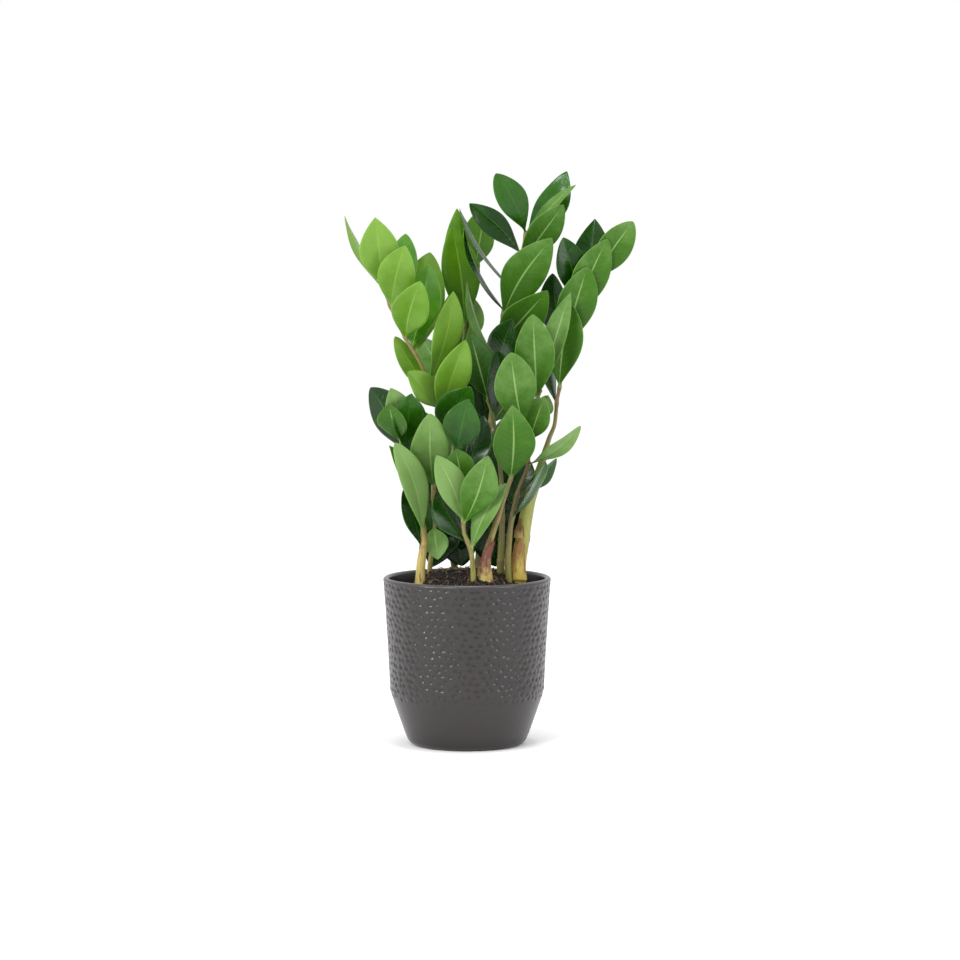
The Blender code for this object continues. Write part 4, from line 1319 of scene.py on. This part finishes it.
class PLANT_OT_leaflets(bpy.types.Operator):
    """Make every leaflet in place of its plain solid"""

    bl_idname = "zz_plant.leaflets"
    bl_label = "Leaflets"

    def execute(self, context):
        slots = {part["node"]: part["material_slot"] for part in frame["record"]["subparts"]}
        finishes = {name: bpy.data.materials[f"waxy_cuticle_{name}"] for name in OTHER_SIDE}
        for stem_name, rows in LEAFLETS.items():
            for node, row in rows.items():
                piece = leaflet_object(f"{node}_blade", stems[stem_name], [row], finishes)
                keep_piece(piece, slots[node], node)
        for stem_name, rows in INNER_LEAFLETS.items():
            piece = leaflet_object(f"{stem_name}_inner_leaflets", stems[stem_name], rows, finishes)
            keep_piece(piece, "mature_leaf", stem_name)
        return {"FINISHED"}


class PLANT_OT_stems(bpy.types.Operator):
    """Sweep the stems and their swollen nodes"""

    bl_idname = "zz_plant.stems"
    bl_label = "Stems"

    def execute(self, context):
        tree = stem_tree()
        for i, (name, stem) in enumerate(stems.items()):
            skin = stem_finish(f"{name}_skin", *STEM_SKINS[name])
            values = {"Sides": STEM_SIDES, "Ring Spacing": RING_SPACING, "Dent": STEM_DENT, "Seed": float(i),
                      "Skin": skin}
            piece = run_tree(stem_line(name, stem), tree, values, f"{name}_swept")
            mark_rings(piece.data, node_heights(name))
            keep_piece(piece, "green_stem", name)
        return {"FINISHED"}


class PLANT_OT_sheaths(bpy.types.Operator):
    """Make the dry sheaths round the stem feet"""

    bl_idname = "zz_plant.sheaths"
    bl_label = "Dry sheaths"

    def execute(self, context):
        for name, row in SHEATHS.items():
            piece = sheath_mesh(f"{name}_skin", stems[row[0]], row)
            piece.data.materials.append(sheath_finish(f"{name}_paper", *row[7:]))
            keep_piece(piece, "dry_sheath", name)
        return {"FINISHED"}


class PLANT_OT_pot(bpy.types.Operator):
    """Turn the cover pot and hammer its wall"""

    bl_idname = "zz_plant.pot"
    bl_label = "Cover pot"

    def execute(self, context):
        size = context.scene.zz_pot
        values = {
            "Columns": size.columns, "Rows": size.rows, "Row Pitch": size.row_pitch, "Top Row": size.top_row,
            "Cylinder": POT_KINK_RADIUS, "Bowl Radius": size.bowl_radius, "Bowl Depth": size.bowl_depth,
            "Height Stretch": HEIGHT_STRETCH, "Jitter": BOWL_JITTER, "Seed": BOWL_SEED,
            "Glaze": glaze_finish(tuple(size.glaze)),
        }
        piece = run_tree(turned_pot("pot_wall"), hammered_tree(), values, "hammered_cover_pot")
        keep_piece(piece, "glazed_stoneware", "cover_pot")
        nursery = frame["nodes"]["nursery_pot"]
        plastic = plastic_finish()
        for place in nursery.material_slots:
            place.material = plastic
        return {"FINISHED"}


class PLANT_OT_compost(bpy.types.Operator):
    """Make the compost, its crumbs and the loose roots on it"""

    bl_idname = "zz_plant.compost"
    bl_label = "Compost"

    def execute(self, context):
        size = context.scene.zz_compost
        mound = mound_mesh("compost_mound")
        mound.data.materials.append(compost_finish("moist_peat", "#060302", "#120A06", "#20140D"))
        carrier = new_object("crumb_carrier", mound.data.copy())
        crumbs = run_tree(carrier, crumb_tree(), {
            "Density": size.crumb_density, "Small": 0.0004, "Large": 0.0026, "Seed": 3,
            "Earth": compost_finish("bark_crumbs", "#090503", "#1A100A", "#6A553F")}, "compost_crumbs")
        strands = fibre_lines("root_strands", size.strands)
        fibres = run_tree(strands, fibre_tree(), {
            "Thickness": 0.0006, "Sides": 5,
            "Fibre": fibre_finish("feeder_roots", "#301F18", "#7A6448")}, "root_fibres")
        keep_piece(mound, "compost", "root_ball")
        keep_piece(crumbs, "compost")
        keep_piece(fibres, "compost")
        return {"FINISHED"}


class PLANT_OT_stage(bpy.types.Operator):
    """Set the floor, the studio lights and the camera"""

    bl_idname = "zz_plant.stage"
    bl_label = "Stage"

    def execute(self, context):
        size = context.scene.zz_stage
        target = Vector(AIM)
        floor_mesh = bmesh.new()
        bmesh.ops.create_grid(floor_mesh, x_segments=1, y_segments=1, size=FLOOR_SIZE)
        data = bpy.data.meshes.new("studio_floor")
        floor_mesh.to_mesh(data)
        floor_mesh.free()
        floor = new_object("studio_floor", data)
        floor.location.z = CAD_BOX[0].z - FLOOR_GAP
        # Matt background paper, so white that it runs into the light behind it
        paper, _, shader = new_finish("white_studio_paper", 0.9)
        shader.inputs["Base Color"].default_value = linear("#FEFEFE")
        data.materials.append(paper)
        world = bpy.data.worlds.new("white_studio")
        world.use_nodes = True
        world.node_tree.nodes["Background"].inputs["Color"].default_value = (1.0, 1.0, 1.0, 1.0)
        world.node_tree.nodes["Background"].inputs["Strength"].default_value = 1.0
        context.scene.world = world
        for name, (place, side, power) in LAMPS.items():
            lamp = bpy.data.lights.new(name, "AREA")
            lamp.shape = "SQUARE"
            lamp.size = side
            lamp.energy = power
            holder = new_object(name, lamp)
            holder.location = place
            holder.rotation_euler = (target - Vector(place)).to_track_quat("-Z", "Y").to_euler()
        camera = bpy.data.cameras.new("studio_camera")
        camera.lens = size.lens
        camera.sensor_width = SENSOR
        camera.clip_end = 50.0
        holder = new_object("studio_camera", camera)
        back = Vector((0.0, -math.cos(size.elevation), math.sin(size.elevation)))
        holder.location = target + back * size.distance
        holder.rotation_euler = (-back).to_track_quat("-Z", "Y").to_euler()
        context.scene.camera = holder
        context.scene.view_settings.view_transform = "Standard"
        return {"FINISHED"}


class PLANT_PT_panel(bpy.types.Panel):
    """The sidebar panel that lists the steps in order"""

    bl_idname = "PLANT_PT_panel"
    bl_label = "Potted ZZ plant"
    bl_space_type = "VIEW_3D"
    bl_region_type = "UI"
    bl_category = "ZZ plant"

    def draw(self, context):
        for step in STEPS:
            self.layout.operator(step.bl_idname)
        for group in (context.scene.zz_pot, context.scene.zz_leaves, context.scene.zz_compost,
                      context.scene.zz_stage):
            box = self.layout.box()
            for name in group.__annotations__:
                box.prop(group, name)


STEPS = (PLANT_OT_finishes, PLANT_OT_leaflets, PLANT_OT_stems, PLANT_OT_sheaths, PLANT_OT_pot,
         PLANT_OT_compost,
         PLANT_OT_stage)
GROUPS = {"zz_pot": PotSettings, "zz_leaves": LeafSettings, "zz_compost": CompostSettings,
          "zz_stage": StageSettings}


def register():
    for made in (*GROUPS.values(), *STEPS, PLANT_PT_panel):
        bpy.utils.register_class(made)
    for name, group in GROUPS.items():
        setattr(bpy.types.Scene, name, bpy.props.PointerProperty(type=group))


def unregister():
    for name in GROUPS:
        delattr(bpy.types.Scene, name)
    for made in reversed((*GROUPS.values(), *STEPS, PLANT_PT_panel)):
        bpy.utils.unregister_class(made)


def main():
    """Registers the add-on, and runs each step."""
    register()
    for step in STEPS:
        group, name = step.bl_idname.split(".")
        getattr(getattr(bpy.ops, group), name)()
    bpy.context.view_layer.update()


if __name__ == "__main__":
    main()
